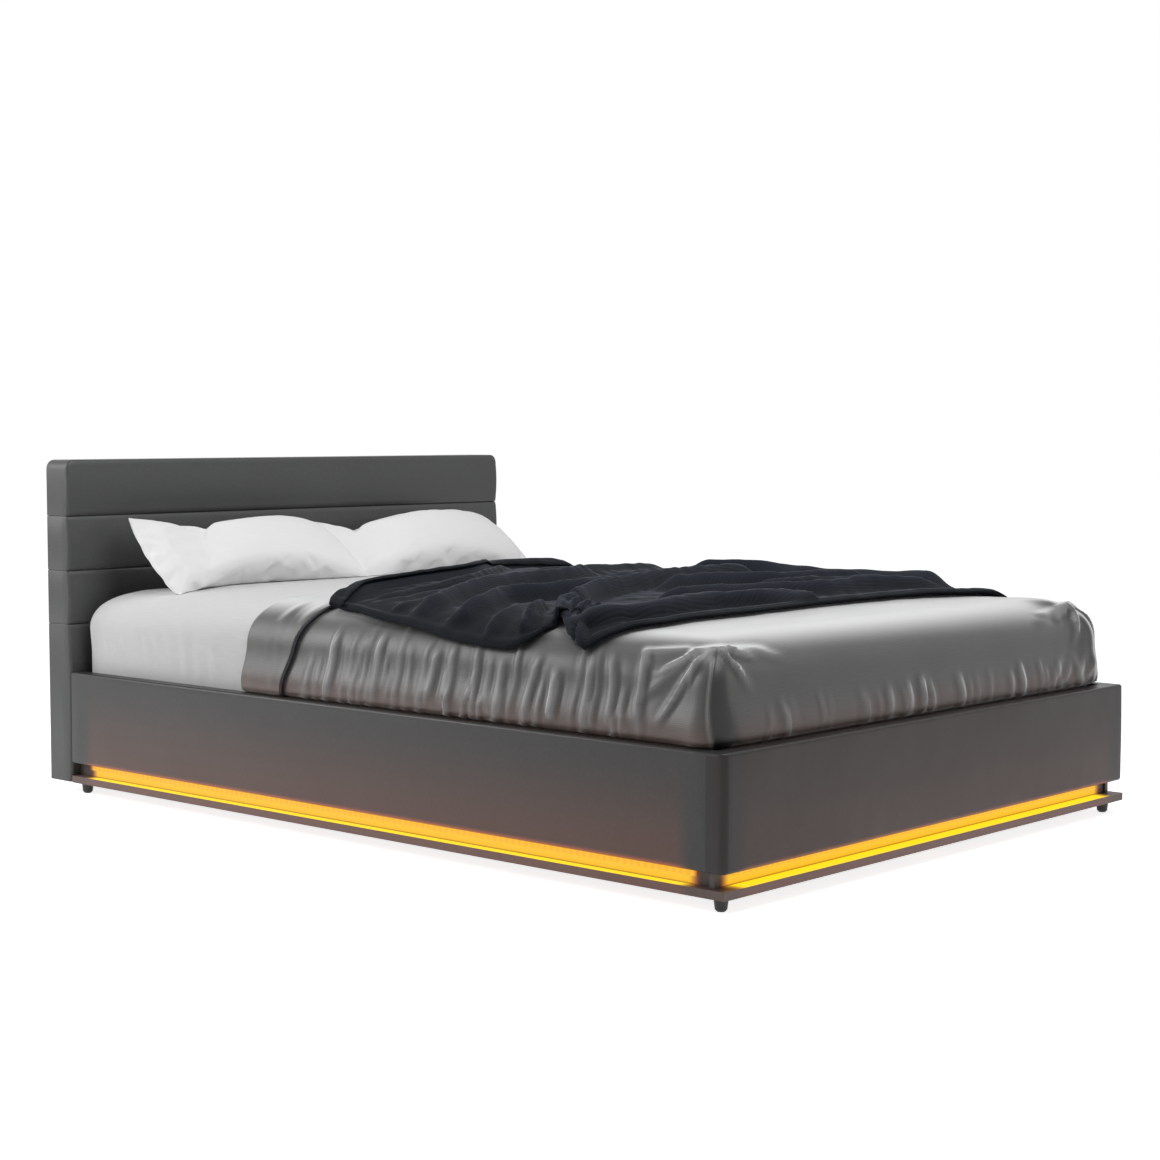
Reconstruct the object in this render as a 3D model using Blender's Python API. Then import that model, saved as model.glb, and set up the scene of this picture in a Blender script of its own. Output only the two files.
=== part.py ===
# Upholstered storage bed with a lit plinth: headboard, rails, gas-lift slatted platform and bedding.
# Metres, +Z up. X runs across the bed, -Y is the foot end and +Y the headboard; the floor is Z = 0.

import math

import bmesh
import bpy
from mathutils import Matrix, Vector

# The mattress that the bed is built round, and the gaps between it and the frame
MATTRESS_WIDTH = 1.372
MATTRESS_LENGTH = 1.905
MATTRESS_THICK = 0.2424  # up to its rounded top edges; the crown adds to it
MATTRESS_SIDE_GAP = 0.009
MATTRESS_FOOT_GAP = 0.0168
MATTRESS_HEAD_GAP = 0.019

FIT = 0.0003  # gap between two pieces that touch
OVERRUN = 0.012  # how far a cutting shape runs past what it cuts

# Feet
FOOT_HEIGHT = 0.027
FOOT_TOP_RADIUS = 0.0145
FOOT_BOTTOM_RADIUS = 0.0115
FOOT_ROUND = 0.004
FOOT_INSET = 0.033
HEAD_FOOT_INSET = 0.016

# Plinth: a ledge all round, with a low riser set back on it that forms the light recess
LEDGE_THICK = 0.0165
LEDGE_WIDTH = 0.075
RISER_THICK = 0.0078
LIGHT_GAP = 0.030
SIDE_RECESS = 0.0238
FOOT_RECESS = 0.0354
CORNER_POST = 0.012
FLOOR_BEAM_WIDTH = 0.090
FLOOR_PANEL_THICK = 0.009
FLOOR_PANEL_GAP = 0.002

# Light strip
STRIP_HEIGHT = 0.010
STRIP_DEPTH = 0.0025
STRIP_DROP = 0.004
STRIP_END_GAP = 0.046
DRIVER_LENGTH = 0.150
DRIVER_WIDTH = 0.045
DRIVER_HEIGHT = 0.026
DRIVER_SETBACK = 0.120
DRIVER_EDGE = 0.003
INLET_RADIUS = 0.0055
INLET_BORE = 0.0032
INLET_LENGTH = 0.014

# Rails
RAIL_HEIGHT = 0.2185
SIDE_RAIL_THICK = 0.035
SIDE_RAIL_PAD = 0.008
FOOT_RAIL_THICK = 0.0432
FOOT_RAIL_PAD = 0.0162
FOOT_RAIL_END_PAD = 0.010
LEATHER_WRAP = 0.002
WRAP_DOWN = 0.040
RAIL_EDGE_RADIUS = 0.006
FOOT_CORNER_RADIUS = 0.014

# Headboard
HEADBOARD_TOP = 0.797
HEADBOARD_THICK = 0.086
HEADBOARD_PAD = 0.045
HEADBOARD_SIDE_PAD = 0.012
HEADBOARD_BACK_THICK = 0.0095
HEADBOARD_BACK_INSET = 0.001
BAND_HEIGHTS = (0.1336, 0.1302, 0.1275)  # from the top; the lowest band takes the rest
SEAM_SINK = 0.009
SEAM_ROUND = 0.017
BAND_CROWN = 0.003
BAND_EDGE_RADIUS = 0.008
HEADBOARD_CORNER_RADIUS = 0.022
CORE_LIFT = 0.002

# Battens that carry the closed platform
BATTEN_THICK = 0.030
BATTEN_HEIGHT = 0.045
BATTEN_HEAD_GAP = 0.669  # from the headboard, where the platform's head end swings down

# Platform
PLATFORM_SIDE_GAP = 0.0093
PLATFORM_FOOT_INSET = 0.003
PLATFORM_DROP = 0.092  # below the top of the rails
TUBE_SIZE = 0.030
TUBE_WALL = 0.0015
DECK_THICK = 0.012
DECK_SLOTS = 12
DECK_SLOT_WIDTH = 0.060
DECK_SLOT_MARGIN = 0.060
PULL_TAB_WIDTH = 0.030
PULL_TAB_THICK = 0.0025
PULL_TAB_LENGTH = 0.110

# Lift mechanism, in the plane of one side; the other side is its mirror image
LIFT_ANGLE = math.radians(35.0)
LINK_SWING = math.radians(53.6)
MAIN_LINK_LENGTH = 0.419
MAIN_PIN_DROP = 0.0231  # below the top of the platform's tubes
MAIN_PIVOT_TO_HEADBOARD = 1.124
MAIN_PIVOT_RISE = 0.0372  # above the storage floor
GUIDE_PIVOT_BACK = 0.106  # behind the main pivot, towards the foot end
GUIDE_PIVOT_RISE = 0.0632
GUIDE_PIN_BACK = 0.0595  # guide pin behind the main pin on the platform, towards the foot end
GUIDE_PIN_UP = 0.008
STRUT_BASE_AHEAD = 0.162
STRUT_BASE_RISE = 0.0222
STRUT_PIN_AHEAD = 0.062
STRUT_PIN_UP = 0.0121
PLATE_THICK = 0.004
PLATE_GAP = 0.001
LINK_HALF_WIDTH = 0.009
PIN_RADIUS = 0.005
PIN_HEAD_RADIUS = 0.0085
PIN_HEAD_THICK = 0.003
GUIDE_HOLE_PLAY = 0.0056  # room round the guide pin, whose path is not quite a circle
BASE_FLANGE = 0.003
BASE_HEIGHT = 0.088
BASE_MARGIN = 0.024
PLATFORM_PLATE_MARGIN = 0.018
PLATFORM_PLATE_DROP = 0.022
CYLINDER_RADIUS = 0.011
CYLINDER_BORE = 0.0046
CYLINDER_START = 0.016
CYLINDER_TIP_GAP = 0.058
ROD_RADIUS = 0.004
ROD_RUN_OUT = 0.018
STRUT_EYE_RADIUS = 0.0095
STRUT_EYE_HALF = 0.0075
STRUT_PIN_RADIUS = 0.0045
STRUT_GAP = 0.004

# Mattress and bedding
MATTRESS_CROWN = 0.015
MATTRESS_EDGE_RUN = 0.130  # the top edge is rounded along a quarter of an ellipse
MATTRESS_EDGE_RISE = 0.085
MATTRESS_CORNER = 0.035
MATTRESS_HEAD_RUN = 0.500  # from the head end to where the crown's ridge starts
SHEET_THICK = 0.0018
SHEET_HEM_LIFT = 0.004
COVER_THICK = 0.004
COVER_HEM_LIFT = 0.008
COVER_HEAD_GAP = 0.600  # from the mattress's head end to the coverlet's
CUFF_WIDTH = 0.150
CUFF_EXTRA = 0.0035
COVER_FOLD_DEPTH = 0.005
COVER_FOLD_SPACING = 0.105
THROW_THICK = 0.008
THROW_GAP = 0.0012  # a little over the usual gap, as the two cloths are faceted differently
THROW_FOLD_HEIGHT = 0.034
THROW_CORNER_REACH = 0.45  # how far it comes down the rounded edge, as a share of it
THROW_MIDDLE_REACH = 0.70
THROW_HEAD_NEAR_GAP = 0.800  # each corner's distance from the mattress's head end
THROW_HEAD_FAR_GAP = 0.300
THROW_FOOT_NEAR_GAP = 1.690
THROW_FOOT_FAR_GAP = 1.710
THROW_FOOT_SWEEP = 0.045
PILLOW_WIDTH = 0.602
PILLOW_HEIGHT = 0.232
PILLOW_THICK = 0.150
PILLOW_SKEW = 0.055  # how far the top edge is pushed to the left of the bottom edge
PILLOW_SPACING = 0.606
PILLOW_PAIR_X = 0.012
PILLOW_TOP_GAP = 0.075  # from the headboard
PILLOW_LEAN = math.radians(45.0)
PILLOW_TURN = math.radians(1.5)
PILLOW_SINK = 0.006

# Places worked out from the sizes above
BED_WIDTH = MATTRESS_WIDTH + 2 * (MATTRESS_SIDE_GAP + SIDE_RAIL_THICK)
BED_LENGTH = FOOT_RAIL_THICK + MATTRESS_FOOT_GAP + MATTRESS_LENGTH + MATTRESS_HEAD_GAP + HEADBOARD_THICK
HALF_WIDTH = BED_WIDTH / 2
FOOT_FACE_Y = -BED_LENGTH / 2
BACK_Y = BED_LENGTH / 2
HEADBOARD_FRONT_Y = BACK_Y - HEADBOARD_THICK
LEDGE_TOP = FOOT_HEIGHT + LEDGE_THICK
RAIL_BOTTOM = LEDGE_TOP + LIGHT_GAP
RAIL_TOP = RAIL_BOTTOM + RAIL_HEIGHT
RAIL_FOOT_Y = FOOT_FACE_Y + FOOT_RAIL_THICK
SIDE_WOOD_X = HALF_WIDTH - SIDE_RAIL_THICK + LEATHER_WRAP + FIT
FOOT_WOOD_Y = RAIL_FOOT_Y - LEATHER_WRAP - FIT
FLOOR_PANEL_BOTTOM = LEDGE_TOP + FIT
FLOOR_PANEL_TOP = FLOOR_PANEL_BOTTOM + FLOOR_PANEL_THICK
MATTRESS_HEAD_Y = HEADBOARD_FRONT_Y - MATTRESS_HEAD_GAP
MATTRESS_FOOT_Y = MATTRESS_HEAD_Y - MATTRESS_LENGTH
PLATFORM_HALF_WIDTH = SIDE_WOOD_X - PLATFORM_SIDE_GAP
PLATFORM_FOOT_Y = MATTRESS_FOOT_Y + PLATFORM_FOOT_INSET
PLATFORM_HEAD_Y = MATTRESS_HEAD_Y
PLATFORM_BOTTOM = RAIL_TOP - PLATFORM_DROP
BATTEN_TOP = PLATFORM_BOTTOM - FIT
BATTEN_BOTTOM = BATTEN_TOP - BATTEN_HEIGHT
BATTEN_HEAD_Y = HEADBOARD_FRONT_Y - BATTEN_HEAD_GAP
TUBE_TOP = PLATFORM_BOTTOM + TUBE_SIZE
TUBE_INNER_X = PLATFORM_HALF_WIDTH - TUBE_SIZE
DECK_BOTTOM = TUBE_TOP + FIT
DECK_TOP = DECK_BOTTOM + DECK_THICK
MATTRESS_BOTTOM = DECK_TOP + FIT
MATTRESS_TOP = MATTRESS_BOTTOM + MATTRESS_THICK
MATTRESS_HALF = MATTRESS_WIDTH / 2
COVER_HEAD_Y = MATTRESS_HEAD_Y - COVER_HEAD_GAP
PILLOW_TOP_Y = HEADBOARD_FRONT_Y - PILLOW_TOP_GAP

# Layers of the mechanism, from the platform's side tube towards the middle of the bed
PLATE_OUTER_X = TUBE_INNER_X - FIT
PLATE_INNER_X = PLATE_OUTER_X - PLATE_THICK
LINK_OUTER_X = PLATE_INNER_X - PLATE_GAP
LINK_INNER_X = LINK_OUTER_X - PLATE_THICK
WEB_OUTER_X = LINK_INNER_X - PLATE_GAP
WEB_INNER_X = WEB_OUTER_X - PLATE_THICK
STRUT_X = WEB_INNER_X - STRUT_GAP - CYLINDER_RADIUS

# Pivots as (y, z) in the plane of one side
MAIN_PIVOT = Vector((HEADBOARD_FRONT_Y - MAIN_PIVOT_TO_HEADBOARD, FLOOR_PANEL_TOP + MAIN_PIVOT_RISE))
LINK_START = math.asin((TUBE_TOP - MAIN_PIN_DROP - MAIN_PIVOT.y) / MAIN_LINK_LENGTH)
MAIN_PIN = MAIN_PIVOT + MAIN_LINK_LENGTH * Vector((math.cos(LINK_START), math.sin(LINK_START)))
GUIDE_PIN = MAIN_PIN + Vector((-GUIDE_PIN_BACK, GUIDE_PIN_UP))
STRUT_BASE = Vector((MAIN_PIVOT.x + STRUT_BASE_AHEAD, FLOOR_PANEL_TOP + STRUT_BASE_RISE))
GUIDE_PIVOT = Vector((MAIN_PIVOT.x - GUIDE_PIVOT_BACK, FLOOR_PANEL_TOP + GUIDE_PIVOT_RISE))
STRUT_PIN = MAIN_PIN + Vector((STRUT_PIN_AHEAD, STRUT_PIN_UP))


def turned(vector, angle):
    return Vector((vector.x * math.cos(angle) - vector.y * math.sin(angle),
                   vector.x * math.sin(angle) + vector.y * math.cos(angle)))


def open_place(point):
    # Where a point of the platform lies when the bed is fully open
    pin_open = MAIN_PIVOT + turned(MAIN_PIN - MAIN_PIVOT, LINK_SWING)
    return pin_open + turned(point - MAIN_PIN, -LIFT_ANGLE)


# Colours are linear values of the finishes; then roughness and metallic value
FINISHES = {
    "grey_leather": ((0.062, 0.064, 0.062), 0.42, 0.0),
    "plinth_leather": ((0.050, 0.040, 0.036), 0.50, 0.0),
    "bare_timber": ((0.560, 0.400, 0.240), 0.70, 0.0),
    "birch_plywood": ((0.720, 0.560, 0.360), 0.55, 0.0),
    "black_board": ((0.020, 0.020, 0.020), 0.75, 0.0),
    "black_steel": ((0.030, 0.030, 0.032), 0.45, 1.0),
    "chromed_rod": ((0.620, 0.620, 0.630), 0.12, 1.0),
    "black_plastic": ((0.018, 0.018, 0.019), 0.45, 0.0),
    "light_strip": ((1.000, 0.560, 0.050), 0.40, 0.0),
    "mattress_foam": ((0.700, 0.690, 0.660), 0.90, 0.0),
    "white_cotton": ((0.780, 0.780, 0.780), 0.85, 0.0),
    "grey_sateen": ((0.130, 0.128, 0.126), 0.50, 0.0),
    "navy_knit": ((0.024, 0.029, 0.040), 0.85, 0.0),
    "black_webbing": ((0.015, 0.015, 0.016), 0.80, 0.0),
}


def make_finish(name):
    colour, roughness, metallic = FINISHES[name]
    finish = bpy.data.materials.get(name) or bpy.data.materials.new(name)
    finish.use_nodes = True
    shader = finish.node_tree.nodes["Principled BSDF"]
    shader.inputs["Base Color"].default_value = (*colour, 1.0)
    shader.inputs["Roughness"].default_value = roughness
    shader.inputs["Metallic"].default_value = metallic
    finish.diffuse_color = (*colour, 1.0)
    return finish


def clear_scene():
    for old in list(bpy.data.objects):
        bpy.data.objects.remove(old, do_unlink=True)


def make_pivot(name, place):
    pivot = bpy.data.objects.new(name, None)
    pivot.location = place
    bpy.context.scene.collection.objects.link(pivot)
    return pivot


def make_object(name, bm, finish, pivot=None, smooth_angle=math.radians(35)):
    bmesh.ops.recalc_face_normals(bm, faces=bm.faces)
    if pivot:
        bmesh.ops.translate(bm, verts=bm.verts, vec=-pivot.location)
    mesh = bpy.data.meshes.new(name)
    bm.to_mesh(mesh)
    bm.free()
    made = bpy.data.objects.new(name, mesh)
    if pivot:
        made.parent = pivot
    if finish:
        mesh.materials.append(make_finish(finish))
    mesh.shade_smooth()
    mesh.set_sharp_from_angle(angle=smooth_angle)
    bpy.context.scene.collection.objects.link(made)
    return made


def add_box(bm, low, high):
    size = Vector(high) - Vector(low)
    centre = (Vector(high) + Vector(low)) / 2
    matrix = Matrix.Translation(centre) @ Matrix.Diagonal((*size, 1))
    bmesh.ops.create_cube(bm, size=1, matrix=matrix)


def add_prism(bm, outline, axis, low, high):
    # Outline points are the two coordinates other than the axis, in X, Y, Z order
    def place(point):
        a, b = point
        return {"X": (low, a, b), "Y": (a, low, b), "Z": (a, b, low)}[axis]

    corners = [bm.verts.new(place(point)) for point in outline]
    face = bm.faces.new(corners)
    grown = bmesh.ops.extrude_face_region(bm, geom=[face])
    moved = [item for item in grown["geom"] if isinstance(item, bmesh.types.BMVert)]
    shift = {"X": (high - low, 0, 0), "Y": (0, high - low, 0), "Z": (0, 0, high - low)}[axis]
    bmesh.ops.translate(bm, verts=moved, vec=shift)


def add_loft(bm, loops):
    # Joins closed loops of equally many points and caps the two ends
    rings = [[bm.verts.new(point) for point in loop] for loop in loops]
    count = len(rings[0])
    for one, two in zip(rings, rings[1:]):
        for index in range(count):
            after = (index + 1) % count
            bm.faces.new((one[index], one[after], two[after], two[index]))
    bm.faces.new(rings[0])
    bm.faces.new(rings[-1])


def add_rod(bm, start, end, radius, segments=16, end_radius=None):
    start, end = Vector(start), Vector(end)
    direction = end - start
    matrix = Matrix.Translation((start + end) / 2) @ direction.to_track_quat("Z", "Y").to_matrix().to_4x4()
    bmesh.ops.create_cone(bm, cap_ends=True, segments=segments, radius1=radius,
                          radius2=radius if end_radius is None else end_radius,
                          depth=direction.length, matrix=matrix)


def add_turned(bm, profile, base, direction, segments=16):
    # Spins an open profile of (radius, height) round the direction; both its ends lie on the axis
    base = Vector(base)
    frame = Matrix.Translation(base) @ Vector(direction).to_track_quat("Z", "Y").to_matrix().to_4x4()
    corners = [bm.verts.new((radius, 0, height)) for radius, height in profile]
    edges = [bm.edges.new(pair) for pair in zip(corners, corners[1:])]
    bmesh.ops.spin(bm, geom=corners + edges, cent=(0, 0, 0), axis=(0, 0, 1),
                   angle=math.tau, steps=segments, use_duplicate=False)
    fresh = [vert for vert in bm.verts if not vert.tag]
    bmesh.ops.remove_doubles(bm, verts=fresh, dist=FIT / 30)
    fresh = [vert for vert in bm.verts if not vert.tag]
    bmesh.ops.transform(bm, matrix=frame, verts=fresh)
    for vert in fresh:
        vert.tag = True


def soften(made, width, segments=2, angle=math.radians(50)):
    bevel = made.modifiers.new("soft_edges", "BEVEL")
    bevel.width = width
    bevel.segments = segments
    bevel.limit_method = "ANGLE"
    bevel.angle_limit = angle
    bevel.harden_normals = False


def combine(made, bm, operation):
    # Cuts a helper shape out of a piece, or joins it on; the helper itself is not a piece
    helper = make_object(made.name + "_" + operation.lower(), bm, None)
    helper.hide_render = True
    helper.display_type = "WIRE"
    step = made.modifiers.new(operation.lower(), "BOOLEAN")
    step.object = helper
    step.operation = operation
    step.solver = "EXACT"


def arc(centre, radius, start, end, steps):
    angles = [start + (end - start) * step / steps for step in range(steps + 1)]
    return [(centre[0] + radius * math.cos(angle), centre[1] + radius * math.sin(angle)) for angle in angles]


def sides():
    return (("left", -1), ("right", 1))


def mirrored_box(bm, side, low, high):
    xs = sorted((side * low[0], side * high[0]))
    add_box(bm, (xs[0], low[1], low[2]), (xs[1], high[1], high[2]))


# Plinth and feet

def foot_profile():
    top = FOOT_HEIGHT - FIT
    return [(0, 0), (FOOT_BOTTOM_RADIUS - FOOT_ROUND, 0), (FOOT_BOTTOM_RADIUS, FOOT_ROUND),
            (FOOT_TOP_RADIUS, top), (0, top)]


def make_legs():
    places = {"leg_centre": (0, 0)}
    for name, side in sides():
        places["leg_foot_" + name] = (side * (HALF_WIDTH - FOOT_INSET), FOOT_FACE_Y + FOOT_INSET)
        places["leg_head_" + name] = (side * (HALF_WIDTH - FOOT_INSET), HEADBOARD_FRONT_Y - HEAD_FOOT_INSET)
    for name, (x, y) in places.items():
        bm = bmesh.new()
        add_turned(bm, foot_profile(), (x, y, 0), (0, 0, 1), segments=20)
        make_object(name, bm, "black_plastic")


def make_plinth():
    for name, side in sides():
        bm = bmesh.new()
        mirrored_box(bm, side, (HALF_WIDTH - LEDGE_WIDTH, RAIL_FOOT_Y + FIT, FOOT_HEIGHT),
                     (HALF_WIDTH, HEADBOARD_FRONT_Y - FIT, LEDGE_TOP))
        make_object("plinth_ledge_" + name, bm, "plinth_leather")
        bm = bmesh.new()
        riser_x = HALF_WIDTH - SIDE_RECESS
        mirrored_box(bm, side, (riser_x - RISER_THICK, RAIL_FOOT_Y + FIT, LEDGE_TOP + FIT),
                     (riser_x, HEADBOARD_FRONT_Y - FIT, RAIL_BOTTOM - FIT))
        make_object("light_riser_" + name, bm, "plinth_leather")
    bm = bmesh.new()
    add_box(bm, (-HALF_WIDTH, FOOT_FACE_Y, FOOT_HEIGHT), (HALF_WIDTH, RAIL_FOOT_Y, LEDGE_TOP))
    make_object("plinth_ledge_foot", bm, "plinth_leather")
    bm = bmesh.new()
    riser_x = HALF_WIDTH - SIDE_RECESS
    front, post_front = RAIL_FOOT_Y - RISER_THICK, RAIL_FOOT_Y - CORNER_POST
    post_x = riser_x + CORNER_POST
    outline = [(-post_x, RAIL_FOOT_Y), (-post_x, post_front), (-riser_x, post_front), (-riser_x, front),
               (riser_x, front), (riser_x, post_front), (post_x, post_front), (post_x, RAIL_FOOT_Y)]
    add_prism(bm, outline, "Z", LEDGE_TOP + FIT, RAIL_BOTTOM - FIT)
    make_object("light_riser_foot", bm, "plinth_leather")
    bm = bmesh.new()
    inner = HALF_WIDTH - LEDGE_WIDTH - FIT
    add_box(bm, (-inner, HEADBOARD_FRONT_Y - LEDGE_WIDTH, FOOT_HEIGHT), (inner, HEADBOARD_FRONT_Y - FIT, LEDGE_TOP))
    make_object("plinth_ledge_head", bm, "plinth_leather")
    bm = bmesh.new()
    half = FLOOR_BEAM_WIDTH / 2
    add_box(bm, (-half, RAIL_FOOT_Y + FIT, FOOT_HEIGHT), (half, HEADBOARD_FRONT_Y - LEDGE_WIDTH - FIT, LEDGE_TOP))
    make_object("floor_beam", bm, "bare_timber")


def make_storage_floor():
    edge = HALF_WIDTH - SIDE_RECESS - RISER_THICK - FIT
    for name, side in sides():
        bm = bmesh.new()
        mirrored_box(bm, side, (FLOOR_PANEL_GAP / 2, RAIL_FOOT_Y + FIT, FLOOR_PANEL_BOTTOM),
                     (edge, HEADBOARD_FRONT_Y - FIT, FLOOR_PANEL_TOP))
        make_object("storage_floor_" + name, bm, "black_board")


def make_lights():
    top = RAIL_BOTTOM - FIT - STRIP_DROP
    inner = HALF_WIDTH - SIDE_RECESS + FIT
    for name, side in sides():
        bm = bmesh.new()
        mirrored_box(bm, side, (inner, FOOT_FACE_Y + FOOT_RECESS + STRIP_END_GAP, top - STRIP_HEIGHT),
                     (inner + STRIP_DEPTH, HEADBOARD_FRONT_Y - STRIP_END_GAP, top))
        make_object("light_strip_" + name, bm, "light_strip")
    bm = bmesh.new()
    face = RAIL_FOOT_Y - RISER_THICK - FIT
    reach = HALF_WIDTH - SIDE_RECESS - STRIP_END_GAP
    add_box(bm, (-reach, face - STRIP_DEPTH, top - STRIP_HEIGHT), (reach, face, top))
    make_object("light_strip_foot", bm, "light_strip")


def make_light_driver():
    high_y = HEADBOARD_FRONT_Y - DRIVER_SETBACK
    low_x = HALF_WIDTH - LEDGE_WIDTH - DRIVER_WIDTH - DRIVER_SETBACK
    base = FLOOR_PANEL_TOP + FIT
    bm = bmesh.new()
    add_box(bm, (low_x, high_y - DRIVER_LENGTH, base), (low_x + DRIVER_WIDTH, high_y, base + DRIVER_HEIGHT))
    driver = make_object("light_driver", bm, "black_plastic")
    soften(driver, DRIVER_EDGE, segments=1)
    centre = (low_x + DRIVER_WIDTH / 2, high_y - DRIVER_EDGE, base + DRIVER_HEIGHT / 2)
    inlet = bmesh.new()
    profile = [(0, 0), (INLET_RADIUS, 0), (INLET_RADIUS, INLET_LENGTH), (INLET_BORE, INLET_LENGTH),
               (INLET_BORE, INLET_LENGTH / 2), (0, INLET_LENGTH / 2)]
    add_turned(inlet, profile, centre, (0, 1, 0), segments=12)
    combine(driver, inlet, "UNION")


# Rails

def side_cover_outline(side):
    # A pad down the outer face, a wrap over the top and a lip down the inner face
    outer, inner = HALF_WIDTH, HALF_WIDTH - SIDE_RAIL_THICK
    wood_outer = outer - SIDE_RAIL_PAD
    lip = RAIL_TOP - WRAP_DOWN
    radius = RAIL_EDGE_RADIUS
    quarter = math.pi / 2
    points = [(wood_outer, RAIL_BOTTOM)]
    points += arc((outer - radius, RAIL_BOTTOM + radius), radius, -quarter, 0, 3)
    points += arc((outer - radius, RAIL_TOP - radius), radius, 0, quarter, 3)
    points += [(inner, RAIL_TOP), (inner, lip), (inner + LEATHER_WRAP, lip)]
    points += [(inner + LEATHER_WRAP, RAIL_TOP - LEATHER_WRAP), (wood_outer, RAIL_TOP - LEATHER_WRAP)]
    return [(side * x, z) for x, z in points]


def make_side_rails():
    low_y, high_y = RAIL_FOOT_Y + FIT, HEADBOARD_FRONT_Y - FIT
    for name, side in sides():
        bm = bmesh.new()
        add_prism(bm, side_cover_outline(side), "Y", low_y, high_y)
        make_object("side_rail_cover_" + name, bm, "grey_leather")
        bm = bmesh.new()
        mirrored_box(bm, side, (SIDE_WOOD_X, low_y, RAIL_BOTTOM),
                     (HALF_WIDTH - SIDE_RAIL_PAD - FIT, high_y, RAIL_TOP - LEATHER_WRAP - FIT))
        make_object("side_rail_board_" + name, bm, "bare_timber")


def make_foot_rail():
    bm = bmesh.new()
    add_box(bm, (-HALF_WIDTH, FOOT_FACE_Y, RAIL_BOTTOM), (HALF_WIDTH, RAIL_FOOT_Y, RAIL_TOP))
    upright = [edge for edge in bm.edges if abs(edge.verts[0].co.z - edge.verts[1].co.z) > FIT
               and edge.verts[0].co.y < RAIL_FOOT_Y - FIT]
    bmesh.ops.bevel(bm, geom=upright, offset=FOOT_CORNER_RADIUS, segments=4, profile=0.5, affect="EDGES")
    rims = [edge for edge in bm.edges if abs(edge.verts[0].co.z - edge.verts[1].co.z) < FIT
            and min(edge.verts[0].co.y, edge.verts[1].co.y) < RAIL_FOOT_Y - FIT]
    bmesh.ops.bevel(bm, geom=rims, offset=RAIL_EDGE_RADIUS, segments=2, profile=0.5, affect="EDGES")
    cover = make_object("foot_rail_cover", bm, "grey_leather")
    wood_x = HALF_WIDTH - FOOT_RAIL_END_PAD
    wood_front = FOOT_FACE_Y + FOOT_RAIL_PAD
    lip = RAIL_TOP - WRAP_DOWN
    pocket = bmesh.new()
    outline = [(wood_front, RAIL_BOTTOM - OVERRUN), (RAIL_FOOT_Y + OVERRUN, RAIL_BOTTOM - OVERRUN),
               (RAIL_FOOT_Y + OVERRUN, lip), (RAIL_FOOT_Y - LEATHER_WRAP, lip),
               (RAIL_FOOT_Y - LEATHER_WRAP, RAIL_TOP - LEATHER_WRAP), (wood_front, RAIL_TOP - LEATHER_WRAP)]
    add_prism(pocket, outline, "X", -wood_x, wood_x)
    combine(cover, pocket, "DIFFERENCE")
    bm = bmesh.new()
    add_box(bm, (-wood_x + FIT, wood_front + FIT, RAIL_BOTTOM),
            (wood_x - FIT, FOOT_WOOD_Y, RAIL_TOP - LEATHER_WRAP - FIT))
    make_object("foot_rail_board", bm, "bare_timber")


# Headboard

def band_outline(low, high):
    # Cross-section in (y, z): flat back, soft front with sunk seams and a slight crown
    points = [(BACK_Y, low), (HEADBOARD_FRONT_Y + SEAM_SINK, low)]
    steps = 4
    for step in range(1, steps + 1):
        angle = math.pi / 2 * step / steps
        points.append((HEADBOARD_FRONT_Y + BAND_CROWN + (SEAM_SINK - BAND_CROWN) * (1 - math.sin(angle)),
                       low + SEAM_ROUND * (1 - math.cos(angle))))
    inner_low, inner_high = low + SEAM_ROUND, high - SEAM_ROUND
    crown_steps = 6
    for step in range(1, crown_steps):
        share = step / crown_steps
        rise = 1 - (2 * share - 1) ** 2
        points.append((HEADBOARD_FRONT_Y + BAND_CROWN * (1 - rise), inner_low + (inner_high - inner_low) * share))
    for step in range(0, steps + 1):
        angle = math.pi / 2 * (1 - step / steps)
        points.append((HEADBOARD_FRONT_Y + BAND_CROWN + (SEAM_SINK - BAND_CROWN) * (1 - math.sin(angle)),
                       high - SEAM_ROUND * (1 - math.cos(angle))))
    points.append((BACK_Y, high))
    return points


def band_loops(low, high, corner):
    # The band's ends are rounded: its front draws back and, at the very top, its height drops
    outline = band_outline(low, high)
    steps = 4
    loops = []
    for way in (-1, 1):
        for step in range(steps + 1):
            angle = math.pi / 2 * (step if way < 0 else steps - step) / steps
            back = BAND_EDGE_RADIUS * (1 - math.sin(angle))
            drop = 1 - corner * (1 - math.sin(angle)) / (high - low)
            x = way * (HALF_WIDTH - max(BAND_EDGE_RADIUS, corner) * (1 - math.cos(angle)))
            loops.append([(x, min(BACK_Y, y + back), low + (z - low) * drop) for y, z in outline])
    return loops


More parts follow.
